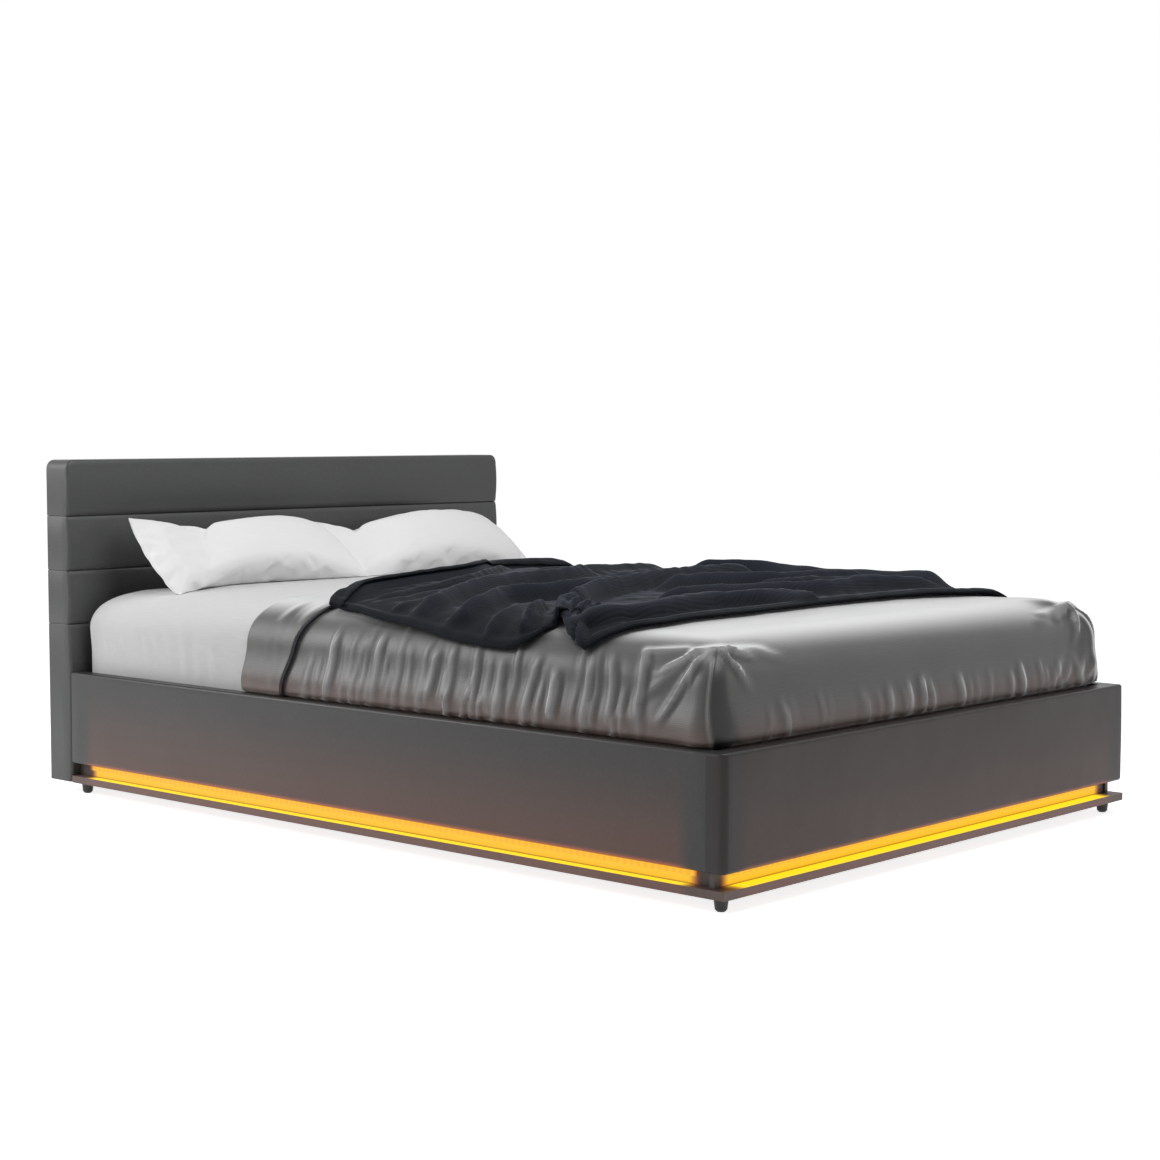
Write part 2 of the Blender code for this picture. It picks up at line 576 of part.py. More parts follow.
def make_headboard():
    edges = [HEADBOARD_TOP]
    for height in BAND_HEIGHTS:
        edges.append(edges[-1] - height)
    edges.append(FOOT_HEIGHT)
    wood_x = HALF_WIDTH - HEADBOARD_SIDE_PAD
    wood_top = HEADBOARD_TOP - HEADBOARD_SIDE_PAD
    wood_front = HEADBOARD_FRONT_Y + HEADBOARD_PAD
    for index, (high, low) in enumerate(zip(edges, edges[1:])):
        bm = bmesh.new()
        top = high - FIT if index else high
        corner = 0 if index else HEADBOARD_CORNER_RADIUS
        add_loft(bm, band_loops(low, top, corner))
        band = make_object("headboard_band_" + str(index + 1), bm, "grey_leather")
        pocket = bmesh.new()
        add_box(pocket, (-wood_x, wood_front, low - OVERRUN),
                (wood_x, BACK_Y + OVERRUN, high + OVERRUN if index else wood_top))
        combine(band, pocket, "DIFFERENCE")
    panel_back = BACK_Y - HEADBOARD_BACK_INSET
    panel_front = panel_back - HEADBOARD_BACK_THICK
    bottom = FOOT_HEIGHT + CORE_LIFT
    bm = bmesh.new()
    add_box(bm, (-wood_x + FIT, wood_front + FIT, bottom), (wood_x - FIT, panel_front - FIT, wood_top - FIT))
    make_object("headboard_board", bm, "bare_timber")
    bm = bmesh.new()
    add_box(bm, (-wood_x + FIT, panel_front, bottom), (wood_x - FIT, panel_back, wood_top - FIT))
    make_object("headboard_back_panel", bm, "black_board")


# Battens

def make_battens():
    wall = SIDE_WOOD_X - FIT
    for name, side in sides():
        bm = bmesh.new()
        mirrored_box(bm, side, (wall - BATTEN_THICK, FOOT_WOOD_Y + FIT, BATTEN_BOTTOM),
                     (wall, BATTEN_HEAD_Y, BATTEN_TOP))
        make_object("side_batten_" + name, bm, "bare_timber")
    bm = bmesh.new()
    reach = wall - BATTEN_THICK - FIT
    add_box(bm, (-reach, FOOT_WOOD_Y + FIT, BATTEN_BOTTOM), (reach, FOOT_WOOD_Y + FIT + BATTEN_THICK, BATTEN_TOP))
    make_object("foot_batten", bm, "bare_timber")


# Platform

def make_platform_frame(lift):
    low, high = PLATFORM_BOTTOM, TUBE_TOP
    for name, side in sides():
        bm = bmesh.new()
        mirrored_box(bm, side, (TUBE_INNER_X, PLATFORM_FOOT_Y, low), (PLATFORM_HALF_WIDTH, PLATFORM_HEAD_Y, high))
        tube = make_object("platform_side_tube_" + name, bm, "black_steel", lift)
        hollow = bmesh.new()
        mirrored_box(hollow, side, (TUBE_INNER_X + TUBE_WALL, PLATFORM_FOOT_Y - OVERRUN, low + TUBE_WALL),
                     (PLATFORM_HALF_WIDTH - TUBE_WALL, PLATFORM_HEAD_Y + OVERRUN, high - TUBE_WALL))
        combine(tube, hollow, "DIFFERENCE")
    reach = TUBE_INNER_X - FIT
    for name, start in (("foot", PLATFORM_FOOT_Y), ("head", PLATFORM_HEAD_Y - TUBE_SIZE)):
        bm = bmesh.new()
        add_box(bm, (-reach, start, low), (reach, start + TUBE_SIZE, high))
        tube = make_object("platform_end_tube_" + name, bm, "black_steel", lift)
        hollow = bmesh.new()
        add_box(hollow, (-reach - OVERRUN, start + TUBE_WALL, low + TUBE_WALL),
                (reach + OVERRUN, start + TUBE_SIZE - TUBE_WALL, high - TUBE_WALL))
        combine(tube, hollow, "DIFFERENCE")
    bm = bmesh.new()
    half = TUBE_SIZE / 2
    start, end = PLATFORM_FOOT_Y + TUBE_SIZE + FIT, PLATFORM_HEAD_Y - TUBE_SIZE - FIT
    add_box(bm, (-half, start, low), (half, end, high))
    tube = make_object("platform_centre_tube", bm, "black_steel", lift)
    hollow = bmesh.new()
    add_box(hollow, (-half + TUBE_WALL, start - OVERRUN, low + TUBE_WALL),
            (half - TUBE_WALL, end + OVERRUN, high - TUBE_WALL))
    combine(tube, hollow, "DIFFERENCE")


def slot_outline(low_x, high_x, centre_y):
    radius = DECK_SLOT_WIDTH / 2
    quarter = math.pi / 2
    return (arc((high_x - radius, centre_y), radius, -quarter, quarter, 4)
            + arc((low_x + radius, centre_y), radius, quarter, 3 * quarter, 4))


def make_deck(lift):
    pitch = (PLATFORM_HEAD_Y - PLATFORM_FOOT_Y) / DECK_SLOTS
    for name, side in sides():
        bm = bmesh.new()
        mirrored_box(bm, side, (FLOOR_PANEL_GAP / 2, PLATFORM_FOOT_Y, DECK_BOTTOM),
                     (PLATFORM_HALF_WIDTH, PLATFORM_HEAD_Y, DECK_TOP))
        board = make_object("deck_board_" + name, bm, "birch_plywood", lift)
        slots = bmesh.new()
        low_x, high_x = sorted((side * DECK_SLOT_MARGIN, side * (PLATFORM_HALF_WIDTH - DECK_SLOT_MARGIN)))
        for slot in range(DECK_SLOTS):
            centre_y = PLATFORM_FOOT_Y + pitch * (slot + 1 / 2)
            add_prism(slots, slot_outline(low_x, high_x, centre_y), "Z", DECK_BOTTOM - OVERRUN, DECK_TOP + OVERRUN)
        combine(board, slots, "DIFFERENCE")


def make_pull_tab(lift):
    face = PLATFORM_FOOT_Y + TUBE_SIZE + FIT
    high = TUBE_TOP - TUBE_WALL
    bm = bmesh.new()
    add_box(bm, (TUBE_SIZE, face, high - PULL_TAB_LENGTH),
            (TUBE_SIZE + PULL_TAB_WIDTH, face + PULL_TAB_THICK, high))
    make_object("pull_tab", bm, "black_webbing", lift)


# Lift mechanism

def make_lift_base(name, side):
    low = FLOOR_PANEL_TOP + FIT
    top = low + BASE_HEIGHT
    wall = SIDE_WOOD_X - FIT
    outline = [(WEB_INNER_X, low), (wall, low), (wall, top), (wall - BASE_FLANGE, top),
               (wall - BASE_FLANGE, low + BASE_FLANGE), (WEB_OUTER_X, low + BASE_FLANGE),
               (WEB_OUTER_X, top), (WEB_INNER_X, top)]
    bm = bmesh.new()
    add_prism(bm, [(side * x, z) for x, z in outline], "Y", GUIDE_PIVOT.x - BASE_MARGIN, STRUT_BASE.x + BASE_MARGIN)
    base = make_object("lift_base_" + name, bm, "black_steel")
    pins = bmesh.new()
    middle = (WEB_INNER_X + WEB_OUTER_X) / 2
    tip = LINK_OUTER_X + FIT
    for pivot in (MAIN_PIVOT, GUIDE_PIVOT):
        profile = [(0, 0), (PIN_RADIUS, 0), (PIN_RADIUS, tip - middle), (PIN_HEAD_RADIUS, tip - middle),
                   (PIN_HEAD_RADIUS, tip - middle + PIN_HEAD_THICK), (0, tip - middle + PIN_HEAD_THICK)]
        add_turned(pins, profile, (side * middle, pivot.x, pivot.y), (side, 0, 0), segments=12)
    inner_tip = STRUT_X - STRUT_EYE_HALF - FIT
    reach = middle - inner_tip
    profile = [(0, 0), (STRUT_PIN_RADIUS, 0), (STRUT_PIN_RADIUS, reach), (PIN_HEAD_RADIUS, reach),
               (PIN_HEAD_RADIUS, reach + PIN_HEAD_THICK), (0, reach + PIN_HEAD_THICK)]
    add_turned(pins, profile, (side * middle, STRUT_BASE.x, STRUT_BASE.y), (-side, 0, 0), segments=12)
    combine(base, pins, "UNION")


def link_outline(start, end):
    direction = (end - start).normalized()
    heading = math.atan2(direction.y, direction.x)
    quarter = math.pi / 2
    steps = 6
    return (arc(end, LINK_HALF_WIDTH, heading - quarter, heading + quarter, steps)
            + arc(start, LINK_HALF_WIDTH, heading + quarter, heading + 3 * quarter, steps))


def add_hole(bm, side, pivot, radius, low_x, high_x):
    add_rod(bm, (side * (low_x - OVERRUN), pivot.x, pivot.y), (side * (high_x + OVERRUN), pivot.x, pivot.y), radius)


def make_link(name, side, start, end, hole_at_end, pivot):
    low, high = sorted((side * LINK_INNER_X, side * LINK_OUTER_X))
    bm = bmesh.new()
    add_prism(bm, link_outline(start, end), "X", low, high)
    link = make_object(name, bm, "black_steel", pivot)
    holes = bmesh.new()
    add_hole(holes, side, start, PIN_RADIUS + FIT, LINK_INNER_X, LINK_OUTER_X)
    if hole_at_end:
        add_hole(holes, side, end, PIN_RADIUS + FIT, LINK_INNER_X, LINK_OUTER_X)
    combine(link, holes, "DIFFERENCE")
    if not hole_at_end:
        stud = bmesh.new()
        middle = (LINK_INNER_X + LINK_OUTER_X) / 2
        add_rod(stud, (side * middle, end.x, end.y), (side * PLATE_OUTER_X, end.x, end.y), PIN_RADIUS, segments=12)
        combine(link, stud, "UNION")


def make_platform_plate(name, side, lift):
    low, high = sorted((side * PLATE_INNER_X, side * PLATE_OUTER_X))
    bottom = PLATFORM_BOTTOM - PLATFORM_PLATE_DROP
    start, end = GUIDE_PIN.x - PLATFORM_PLATE_MARGIN, STRUT_PIN.x + PLATFORM_PLATE_MARGIN
    corner = PLATFORM_PLATE_MARGIN / 2
    outline = [(start, TUBE_TOP), (start, bottom + corner), (start + corner, bottom), (end - corner, bottom),
               (end, bottom + corner), (end, TUBE_TOP)]
    bm = bmesh.new()
    add_prism(bm, outline, "X", low, high)
    plate = make_object("platform_plate_" + name, bm, "black_steel", lift)
    holes = bmesh.new()
    add_hole(holes, side, GUIDE_PIN, PIN_RADIUS + GUIDE_HOLE_PLAY, PLATE_INNER_X, PLATE_OUTER_X)
    combine(plate, holes, "DIFFERENCE")
    pins = bmesh.new()
    middle = (PLATE_INNER_X + PLATE_OUTER_X) / 2
    reach = middle - LINK_INNER_X + FIT
    profile = [(0, 0), (PIN_RADIUS, 0), (PIN_RADIUS, reach), (PIN_HEAD_RADIUS, reach),
               (PIN_HEAD_RADIUS, reach + PIN_HEAD_THICK), (0, reach + PIN_HEAD_THICK)]
    add_turned(pins, profile, (side * middle, MAIN_PIN.x, MAIN_PIN.y), (-side, 0, 0), segments=12)
    reach = middle - STRUT_X - STRUT_EYE_HALF - FIT
    profile = [(0, 0), (STRUT_PIN_RADIUS, 0), (STRUT_PIN_RADIUS, reach), (0, reach)]
    add_turned(pins, profile, (side * middle, STRUT_PIN.x, STRUT_PIN.y), (-side, 0, 0), segments=12)
    combine(plate, pins, "UNION")


def make_strut(name, side, cylinder_pivot, rod_pivot):
    span = STRUT_PIN - STRUT_BASE
    closed = span.length
    along = span.normalized()
    stroke = (open_place(STRUT_PIN) - STRUT_BASE).length - closed
    x = side * STRUT_X

    def place(distance):
        point = STRUT_BASE + along * distance
        return (x, point.x, point.y)

    direction = (0, along.x, along.y)
    tip = closed - CYLINDER_TIP_GAP
    bore_end = tip - stroke - 2 * ROD_RUN_OUT
    bm = bmesh.new()
    profile = [(0, 0), (CYLINDER_RADIUS, 0), (CYLINDER_RADIUS, tip - CYLINDER_START),
               (CYLINDER_BORE, tip - CYLINDER_START), (CYLINDER_BORE, bore_end - CYLINDER_START),
               (0, bore_end - CYLINDER_START)]
    add_turned(bm, profile, place(CYLINDER_START), direction, segments=16)
    cylinder = make_object("gas_cylinder_" + name, bm, "black_steel", cylinder_pivot)
    tail = bmesh.new()
    add_rod(tail, (side * (STRUT_X - STRUT_EYE_HALF), STRUT_BASE.x, STRUT_BASE.y),
            (side * (STRUT_X + STRUT_EYE_HALF), STRUT_BASE.x, STRUT_BASE.y), STRUT_EYE_RADIUS)
    combine(cylinder, tail, "UNION")
    neck = bmesh.new()
    add_rod(neck, place(STRUT_EYE_RADIUS / 2), place(CYLINDER_START + FOOT_ROUND), STRUT_EYE_HALF, segments=12)
    combine(cylinder, neck, "UNION")
    hole = bmesh.new()
    add_hole(hole, side, STRUT_BASE, STRUT_PIN_RADIUS + FIT, STRUT_X - STRUT_EYE_HALF, STRUT_X + STRUT_EYE_HALF)
    combine(cylinder, hole, "DIFFERENCE")
    bm = bmesh.new()
    add_rod(bm, place(bore_end + ROD_RUN_OUT), place(closed), ROD_RADIUS, segments=12)
    rod = make_object("gas_rod_" + name, bm, "chromed_rod", rod_pivot)
    head = bmesh.new()
    add_rod(head, (side * (STRUT_X - STRUT_EYE_HALF), STRUT_PIN.x, STRUT_PIN.y),
            (side * (STRUT_X + STRUT_EYE_HALF), STRUT_PIN.x, STRUT_PIN.y), STRUT_EYE_RADIUS)
    combine(rod, head, "UNION")


def make_mechanism(lift):
    main = make_pivot("main_link_pivot", (0, MAIN_PIVOT.x, MAIN_PIVOT.y))
    guide = make_pivot("guide_link_pivot", (0, GUIDE_PIVOT.x, GUIDE_PIVOT.y))
    cylinder = make_pivot("gas_cylinder_pivot", (0, STRUT_BASE.x, STRUT_BASE.y))
    rod = make_pivot("gas_rod_slide", (0, STRUT_PIN.x, STRUT_PIN.y))
    for name, side in sides():
        make_lift_base(name, side)
        make_link("main_link_" + name, side, MAIN_PIVOT, MAIN_PIN, True, main)
        make_link("guide_link_" + name, side, GUIDE_PIVOT, GUIDE_PIN, False, guide)
        make_platform_plate(name, side, lift)
        make_strut(name, side, cylinder, rod)


# Mattress and bedding

def plan_ring(half, head_y, foot_y, radius, step_length, closed):
    # Points round the plan outline, from the head end down the left side, round the foot and back
    quarter = math.pi / 2
    foot_left = (-half + radius, foot_y + radius)
    points = []
    side_steps = max(1, round((head_y - foot_y - 2 * radius) / step_length))
    foot_steps = max(2, 2 * round((half - radius) / step_length))
    start_y = head_y - radius if closed else head_y
    for step in range(side_steps):
        points.append((-half, start_y + (foot_y + radius - start_y) * step / side_steps))
    points += arc(foot_left, radius, math.pi, math.pi + quarter, 3)
    for step in range(1, foot_steps):
        points.append((-half + radius + 2 * (half - radius) * step / foot_steps, foot_y))
    points += arc((half - radius, foot_y + radius), radius, -quarter, 0, 3)
    for step in range(1, side_steps + 1):
        points.append((half, foot_y + radius + (start_y - foot_y - radius) * step / side_steps))
    if closed:
        points += arc((half - radius, head_y - radius), radius, 0, quarter, 3)[1:]
        for step in range(1, foot_steps):
            points.append((half - radius - 2 * (half - radius) * step / foot_steps, head_y))
        points += arc((-half + radius, head_y - radius), radius, quarter, math.pi, 3)[:-1]
    return points


def drape(points, out, low, side_shares, inset_shares):
    # Columns of points up the side, round the top edge and in to the middle line of the bed,
    # out metres above the mattress's own faces
    half, head_y, foot_y = MATTRESS_HALF + out, MATTRESS_HEAD_Y + out, MATTRESS_FOOT_Y - out
    run, rise, top = MATTRESS_EDGE_RUN + out, MATTRESS_EDGE_RISE + out, MATTRESS_TOP + out
    columns = []
    for x, y in points:
        spine_y = min(max(y, foot_y + half), head_y - MATTRESS_HEAD_RUN)
        column = [Vector((x, y, low + (top - rise - low) * share)) for share in side_shares]
        for share in (0.3, 0.7, 1.0):
            part = run * (1 - math.cos(math.pi / 2 * share)) / half
            height = top - rise + rise * math.sin(math.pi / 2 * share)
            column.append(Vector((x * (1 - part), y + (spine_y - y) * part, height)))
        for share in inset_shares:
            part = (run + (half - run) * share) / half
            height = top + MATTRESS_CROWN * (1 - (1 - share) ** 2)
            column.append(Vector((x * (1 - part), y + (spine_y - y) * part, height)))
        columns.append(column)
    return columns


def add_skin(bm, columns, closed):
    grid = [[bm.verts.new(point) for point in column] for column in columns]
    count = len(grid)
    for index in range(count if closed else count - 1):
        here, there = grid[index], grid[(index + 1) % count]
        for level in range(len(here) - 1):
            bm.faces.new((here[level], there[level], there[level + 1], here[level + 1]))
    return grid


def close_shell(bm, outer, inner, closed):
    count = len(outer)
    for index in range(count if closed else count - 1):
        after = (index + 1) % count
        bm.faces.new((outer[index][0], inner[index][0], inner[after][0], outer[after][0]))
    if not closed:
        for end in (0, -1):
            for level in range(len(outer[end]) - 1):
                bm.faces.new((outer[end][level], outer[end][level + 1], inner[end][level + 1], inner[end][level]))


def add_slab(bm, tops, bottoms):
    # Two grids of points, one over the other, joined round the rim
    top = [[bm.verts.new(point) for point in row] for row in tops]
    bottom = [[bm.verts.new(point) for point in row] for row in bottoms]
    rows, columns = len(top) - 1, len(top[0]) - 1
    for i in range(rows):
        for j in range(columns):
            bm.faces.new((top[i][j], top[i + 1][j], top[i + 1][j + 1], top[i][j + 1]))
            bm.faces.new((bottom[i][j + 1], bottom[i + 1][j + 1], bottom[i + 1][j], bottom[i][j]))
        for j in (0, columns):
            bm.faces.new((top[i][j], bottom[i][j], bottom[i + 1][j], top[i + 1][j]))
    for j in range(columns):
        for i in (0, rows):
            bm.faces.new((top[i][j], top[i][j + 1], bottom[i][j + 1], bottom[i][j]))
    bmesh.ops.triangulate(bm, faces=bm.faces)


def tidy_skin(bm):
    bmesh.ops.remove_doubles(bm, verts=bm.verts, dist=FIT / 10)
    bmesh.ops.dissolve_degenerate(bm, edges=bm.edges, dist=FIT / 10)
    bmesh.ops.triangulate(bm, faces=[face for face in bm.faces if len(face.verts) > 4])


def make_mattress(lift):
    points = plan_ring(MATTRESS_HALF, MATTRESS_HEAD_Y, MATTRESS_FOOT_Y, MATTRESS_CORNER, 0.300, True)
    columns = drape(points, 0, MATTRESS_BOTTOM, (0, 1), (0.3, 0.65, 1))
    bm = bmesh.new()
    grid = add_skin(bm, columns, True)
    bm.faces.new([column[0] for column in grid])
    tidy_skin(bm)
    make_object("mattress", bm, "mattress_foam", lift)


def make_sheet(lift):
    shells = []
    for out in (FIT, FIT + SHEET_THICK):
        points = plan_ring(MATTRESS_HALF + out, MATTRESS_HEAD_Y + out, MATTRESS_FOOT_Y - out, MATTRESS_CORNER + out,
                           0.300, True)
        shells.append(drape(points, out, MATTRESS_BOTTOM + SHEET_HEM_LIFT, (0, 1), (0.3, 0.65, 1)))
    bm = bmesh.new()
    inner = add_skin(bm, shells[0], True)
    outer = add_skin(bm, shells[1], True)
    close_shell(bm, outer, inner, True)
    tidy_skin(bm)
    make_object("fitted_sheet", bm, "white_cotton", lift)


COVER_BASE = 2 * FIT + SHEET_THICK
COVER_OUT = COVER_BASE + COVER_THICK
EDGE_LENGTH = math.hypot(MATTRESS_EDGE_RUN, MATTRESS_EDGE_RISE) / math.sqrt(2) * math.pi / 2


def make_coverlet(lift):
    low = MATTRESS_BOTTOM + COVER_HEM_LIFT
    shells = []
    for out in (COVER_BASE, COVER_OUT):
        points = plan_ring(MATTRESS_HALF + out, COVER_HEAD_Y, MATTRESS_FOOT_Y - out, MATTRESS_CORNER + out,
                           COVER_FOLD_SPACING / 2, False)
        shells.append(drape(points, out, low, (0, 0.4, 1), (0.3, 0.65, 1)))
    for index, column in enumerate(shells[1]):
        folded = (index % 2) * COVER_FOLD_DEPTH
        cuff = CUFF_EXTRA if column[0].y > COVER_HEAD_Y - CUFF_WIDTH else 0
        outward = Vector((math.copysign(1, column[0].x), 0, 0))
        if column[0].y < MATTRESS_FOOT_Y + MATTRESS_CORNER:
            outward = Vector((0, -1, 0))
        for level, share in ((1, 0.5), (2, 1.0), (3, 0.7)):
            column[level] += outward * folded * share
        for level in range(3, len(column)):
            column[level].z += cuff
    bm = bmesh.new()
    inner = add_skin(bm, shells[0], False)
    outer = add_skin(bm, shells[1], False)
    close_shell(bm, outer, inner, False)
    tidy_skin(bm)
    make_object("coverlet", bm, "grey_sateen", lift)


def bed_top(x, y, out):
    # Height of the bedding's upper face at a place, for a layer whose face lies out above the mattress
    from_head = (MATTRESS_HEAD_Y - y) / MATTRESS_HEAD_RUN * MATTRESS_HALF
    inset = min(MATTRESS_HALF, MATTRESS_HALF - abs(x), y - MATTRESS_FOOT_Y, from_head)
    share = max(0, (inset - MATTRESS_EDGE_RUN) / (MATTRESS_HALF - MATTRESS_EDGE_RUN))
    lean = min(1, max(0, 1 - inset / MATTRESS_EDGE_RUN))
    drop = MATTRESS_EDGE_RISE * (1 - math.sqrt(1 - lean * lean))
    return MATTRESS_TOP + out + MATTRESS_CROWN * (1 - (1 - share) ** 2) - drop


def cover_surface(s, y, lift_off):
    # A point lift_off above the coverlet, s metres from the bed's middle line measured over the fabric
    flat = MATTRESS_HALF - MATTRESS_EDGE_RUN
    way = math.copysign(1, s)
    run = abs(s)
    if y > COVER_HEAD_Y - CUFF_WIDTH - COVER_FOLD_SPACING:
        lift_off += CUFF_EXTRA
    if run <= flat:
        return Vector((s, y, bed_top(s, y, COVER_OUT) + lift_off))
    turn = min((run - flat) / EDGE_LENGTH, 1) * math.pi / 2
    down = max(0, run - flat - EDGE_LENGTH)
    reach = COVER_OUT + lift_off + COVER_FOLD_DEPTH * math.sin(turn)
    height = MATTRESS_TOP - MATTRESS_EDGE_RISE + (MATTRESS_EDGE_RISE + reach) * math.cos(turn) - down
    return Vector((way * (flat + (MATTRESS_EDGE_RUN + reach) * math.sin(turn)), y, height))


THROW_FOLD_SHARES = (
    # start and end as shares across and along the throw, then height and width as shares
    ((0.02, 0.04), (0.95, 0.05), 0.55, 0.050),
    ((0.10, 0.22), (0.80, 0.30), 0.45, 0.060),
    ((0.04, 0.94), (0.45, 0.80), 1.00, 0.075),
    ((0.30, 0.62), (0.75, 0.45), 0.70, 0.065),
    ((0.55, 0.88), (0.98, 0.70), 0.85, 0.080),
    ((0.62, 0.20), (0.98, 0.38), 0.80, 0.070),
    ((0.15, 0.45), (0.50, 0.55), 0.40, 0.060),
)


def fold_height(u, v):
    height = 0
    for start, end, height_share, width_share in THROW_FOLD_SHARES:
        line = Vector(end) - Vector(start)
        along = max(0, min(1, (Vector((u, v)) - Vector(start)).dot(line) / line.length_squared))
        away = (Vector((u, v)) - Vector(start) - line * along).length / width_share
        height = max(height, THROW_FOLD_HEIGHT * height_share * math.exp(-away * away))
    return height


def throw_runs(reach):
    # Distances over the fabric from the middle line, from the near edge over the bed to the far one
    flat = MATTRESS_HALF - MATTRESS_EDGE_RUN
    top_steps = 14
    downs = [flat + EDGE_LENGTH * share for share in (0.3, (0.3 + reach) / 2, reach)]
    runs = [-down for down in reversed(downs)]
    runs += [-flat + 2 * flat * step / top_steps for step in range(top_steps + 1)]
    return runs + downs


def make_throw(lift):
    along = 18
    tops, bottoms = [], []
    for j in range(along + 1):
        v = j / along
        runs = throw_runs(THROW_CORNER_REACH + (THROW_MIDDLE_REACH - THROW_CORNER_REACH) * math.sin(math.pi * v))
        top_row, bottom_row = [], []
        for s in runs:
            u = (s - runs[0]) / (runs[-1] - runs[0])
            head_gap = THROW_HEAD_NEAR_GAP + (THROW_HEAD_FAR_GAP - THROW_HEAD_NEAR_GAP) * u
            foot_gap = THROW_FOOT_NEAR_GAP + (THROW_FOOT_FAR_GAP - THROW_FOOT_NEAR_GAP) * u
            foot_gap -= THROW_FOOT_SWEEP * math.sin(math.pi * u)
            y = MATTRESS_HEAD_Y - head_gap - (foot_gap - head_gap) * v
            rim = min(1, 8 * min(u, 1 - u, v, 1 - v) + 0.5)
            bottom_row.append(cover_surface(s, y, THROW_GAP))
            top_row.append(cover_surface(s, y, THROW_GAP + (THROW_THICK + fold_height(u, v)) * rim))
        tops.append(top_row)
        bottoms.append(bottom_row)
    bm = bmesh.new()
    add_slab(bm, tops, bottoms)
    make_object("throw_blanket", bm, "navy_knit", lift)


def pillow_point(u, v, face):
    # Corners stand out, the edges between them draw in, and the middle swells
    width = PILLOW_WIDTH / 2 * u * (1 - 0.06 * (1 - v * v)) - PILLOW_SKEW / 2 * v
    height = PILLOW_HEIGHT / 2 * v * (1 - 0.09 * (1 - u * u))
    swell = max(0, 1 - abs(u) ** 2.6) ** 0.62 * max(0, 1 - abs(v) ** 2.2) ** 0.62
    return Vector((width, face * PILLOW_THICK / 2 * swell, height))


def make_pillow(name, centre_x, turn, lift):
    columns, rows = 16, 12
    bm = bmesh.new()
    for face in (-1, 1):
        grid = []
        for i in range(columns + 1):
            u = math.sin(math.pi / 2 * (2 * i / columns - 1))
            grid.append([bm.verts.new(pillow_point(u, math.sin(math.pi / 2 * (2 * j / rows - 1)), face))
                         for j in range(rows + 1)])
        for i in range(columns):
            for j in range(rows):
                bm.faces.new((grid[i][j], grid[i + 1][j], grid[i + 1][j + 1], grid[i][j + 1]))
    bmesh.ops.remove_doubles(bm, verts=bm.verts, dist=FIT / 3)
    lean = Matrix.Rotation(PILLOW_LEAN - math.pi / 2, 4, "X")
    spin = Matrix.Rotation(turn, 4, "Z")
    bmesh.ops.transform(bm, matrix=spin @ lean, verts=bm.verts)
    sheet_top = FIT + SHEET_THICK
    reach = PILLOW_HEIGHT * math.cos(PILLOW_LEAN)
    base = bed_top(0, PILLOW_TOP_Y - reach, sheet_top) - PILLOW_SINK
    middle = Vector((centre_x, PILLOW_TOP_Y - reach / 2, base + PILLOW_HEIGHT / 2 * math.sin(PILLOW_LEAN)))
    for vert in bm.verts:
        vert.co += middle
        vert.co.z = max(vert.co.z, bed_top(vert.co.x, vert.co.y, sheet_top) + 2 * FIT)
    bmesh.ops.triangulate(bm, faces=bm.faces)
    make_object(name, bm, "white_cotton", lift)


def build_bed():
    clear_scene()
    make_legs()
    make_plinth()
    make_storage_floor()
    make_lights()
    make_light_driver()
    make_side_rails()
    make_foot_rail()
    make_headboard()
    make_battens()
    lift = make_pivot("platform_pivot", (0, MAIN_PIN.x, MAIN_PIN.y))
    make_platform_frame(lift)
    make_deck(lift)
    make_pull_tab(lift)
    make_mechanism(lift)
    make_mattress(lift)
    make_sheet(lift)
    make_coverlet(lift)
    make_throw(lift)
    make_pillow("pillow_left", PILLOW_PAIR_X - PILLOW_SPACING / 2, PILLOW_TURN, lift)
    make_pillow("pillow_right", PILLOW_PAIR_X + PILLOW_SPACING / 2, PILLOW_TURN, lift)


build_bed()
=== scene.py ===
import math
from functools import partial

import bmesh
import bpy
import numpy as np
from mathutils import Matrix, Vector, noise


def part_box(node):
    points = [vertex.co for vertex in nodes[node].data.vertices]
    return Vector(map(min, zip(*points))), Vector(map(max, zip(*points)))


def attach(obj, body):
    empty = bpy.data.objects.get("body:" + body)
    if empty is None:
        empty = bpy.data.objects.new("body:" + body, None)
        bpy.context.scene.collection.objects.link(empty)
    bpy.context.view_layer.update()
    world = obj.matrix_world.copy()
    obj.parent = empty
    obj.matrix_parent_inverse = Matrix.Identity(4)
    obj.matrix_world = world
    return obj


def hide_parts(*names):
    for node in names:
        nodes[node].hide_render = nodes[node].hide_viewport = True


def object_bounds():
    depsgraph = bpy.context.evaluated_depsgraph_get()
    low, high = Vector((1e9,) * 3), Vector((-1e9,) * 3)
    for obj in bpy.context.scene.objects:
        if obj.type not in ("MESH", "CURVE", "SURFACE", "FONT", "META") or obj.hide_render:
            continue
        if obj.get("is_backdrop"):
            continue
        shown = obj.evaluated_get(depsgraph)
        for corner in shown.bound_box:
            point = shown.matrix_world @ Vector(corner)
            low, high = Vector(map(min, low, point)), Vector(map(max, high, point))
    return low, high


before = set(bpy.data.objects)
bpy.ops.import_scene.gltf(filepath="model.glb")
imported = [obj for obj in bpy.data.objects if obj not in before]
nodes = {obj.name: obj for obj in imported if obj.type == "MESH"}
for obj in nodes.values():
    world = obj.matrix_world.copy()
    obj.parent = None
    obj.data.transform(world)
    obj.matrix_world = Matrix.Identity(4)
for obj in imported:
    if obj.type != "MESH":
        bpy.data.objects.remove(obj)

# Upholstered storage bed on a lit plinth, with its bedding. Everything is in metres,
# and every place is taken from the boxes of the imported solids.

cadLow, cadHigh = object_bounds()
print("frame loaded,", len(nodes), "solids")

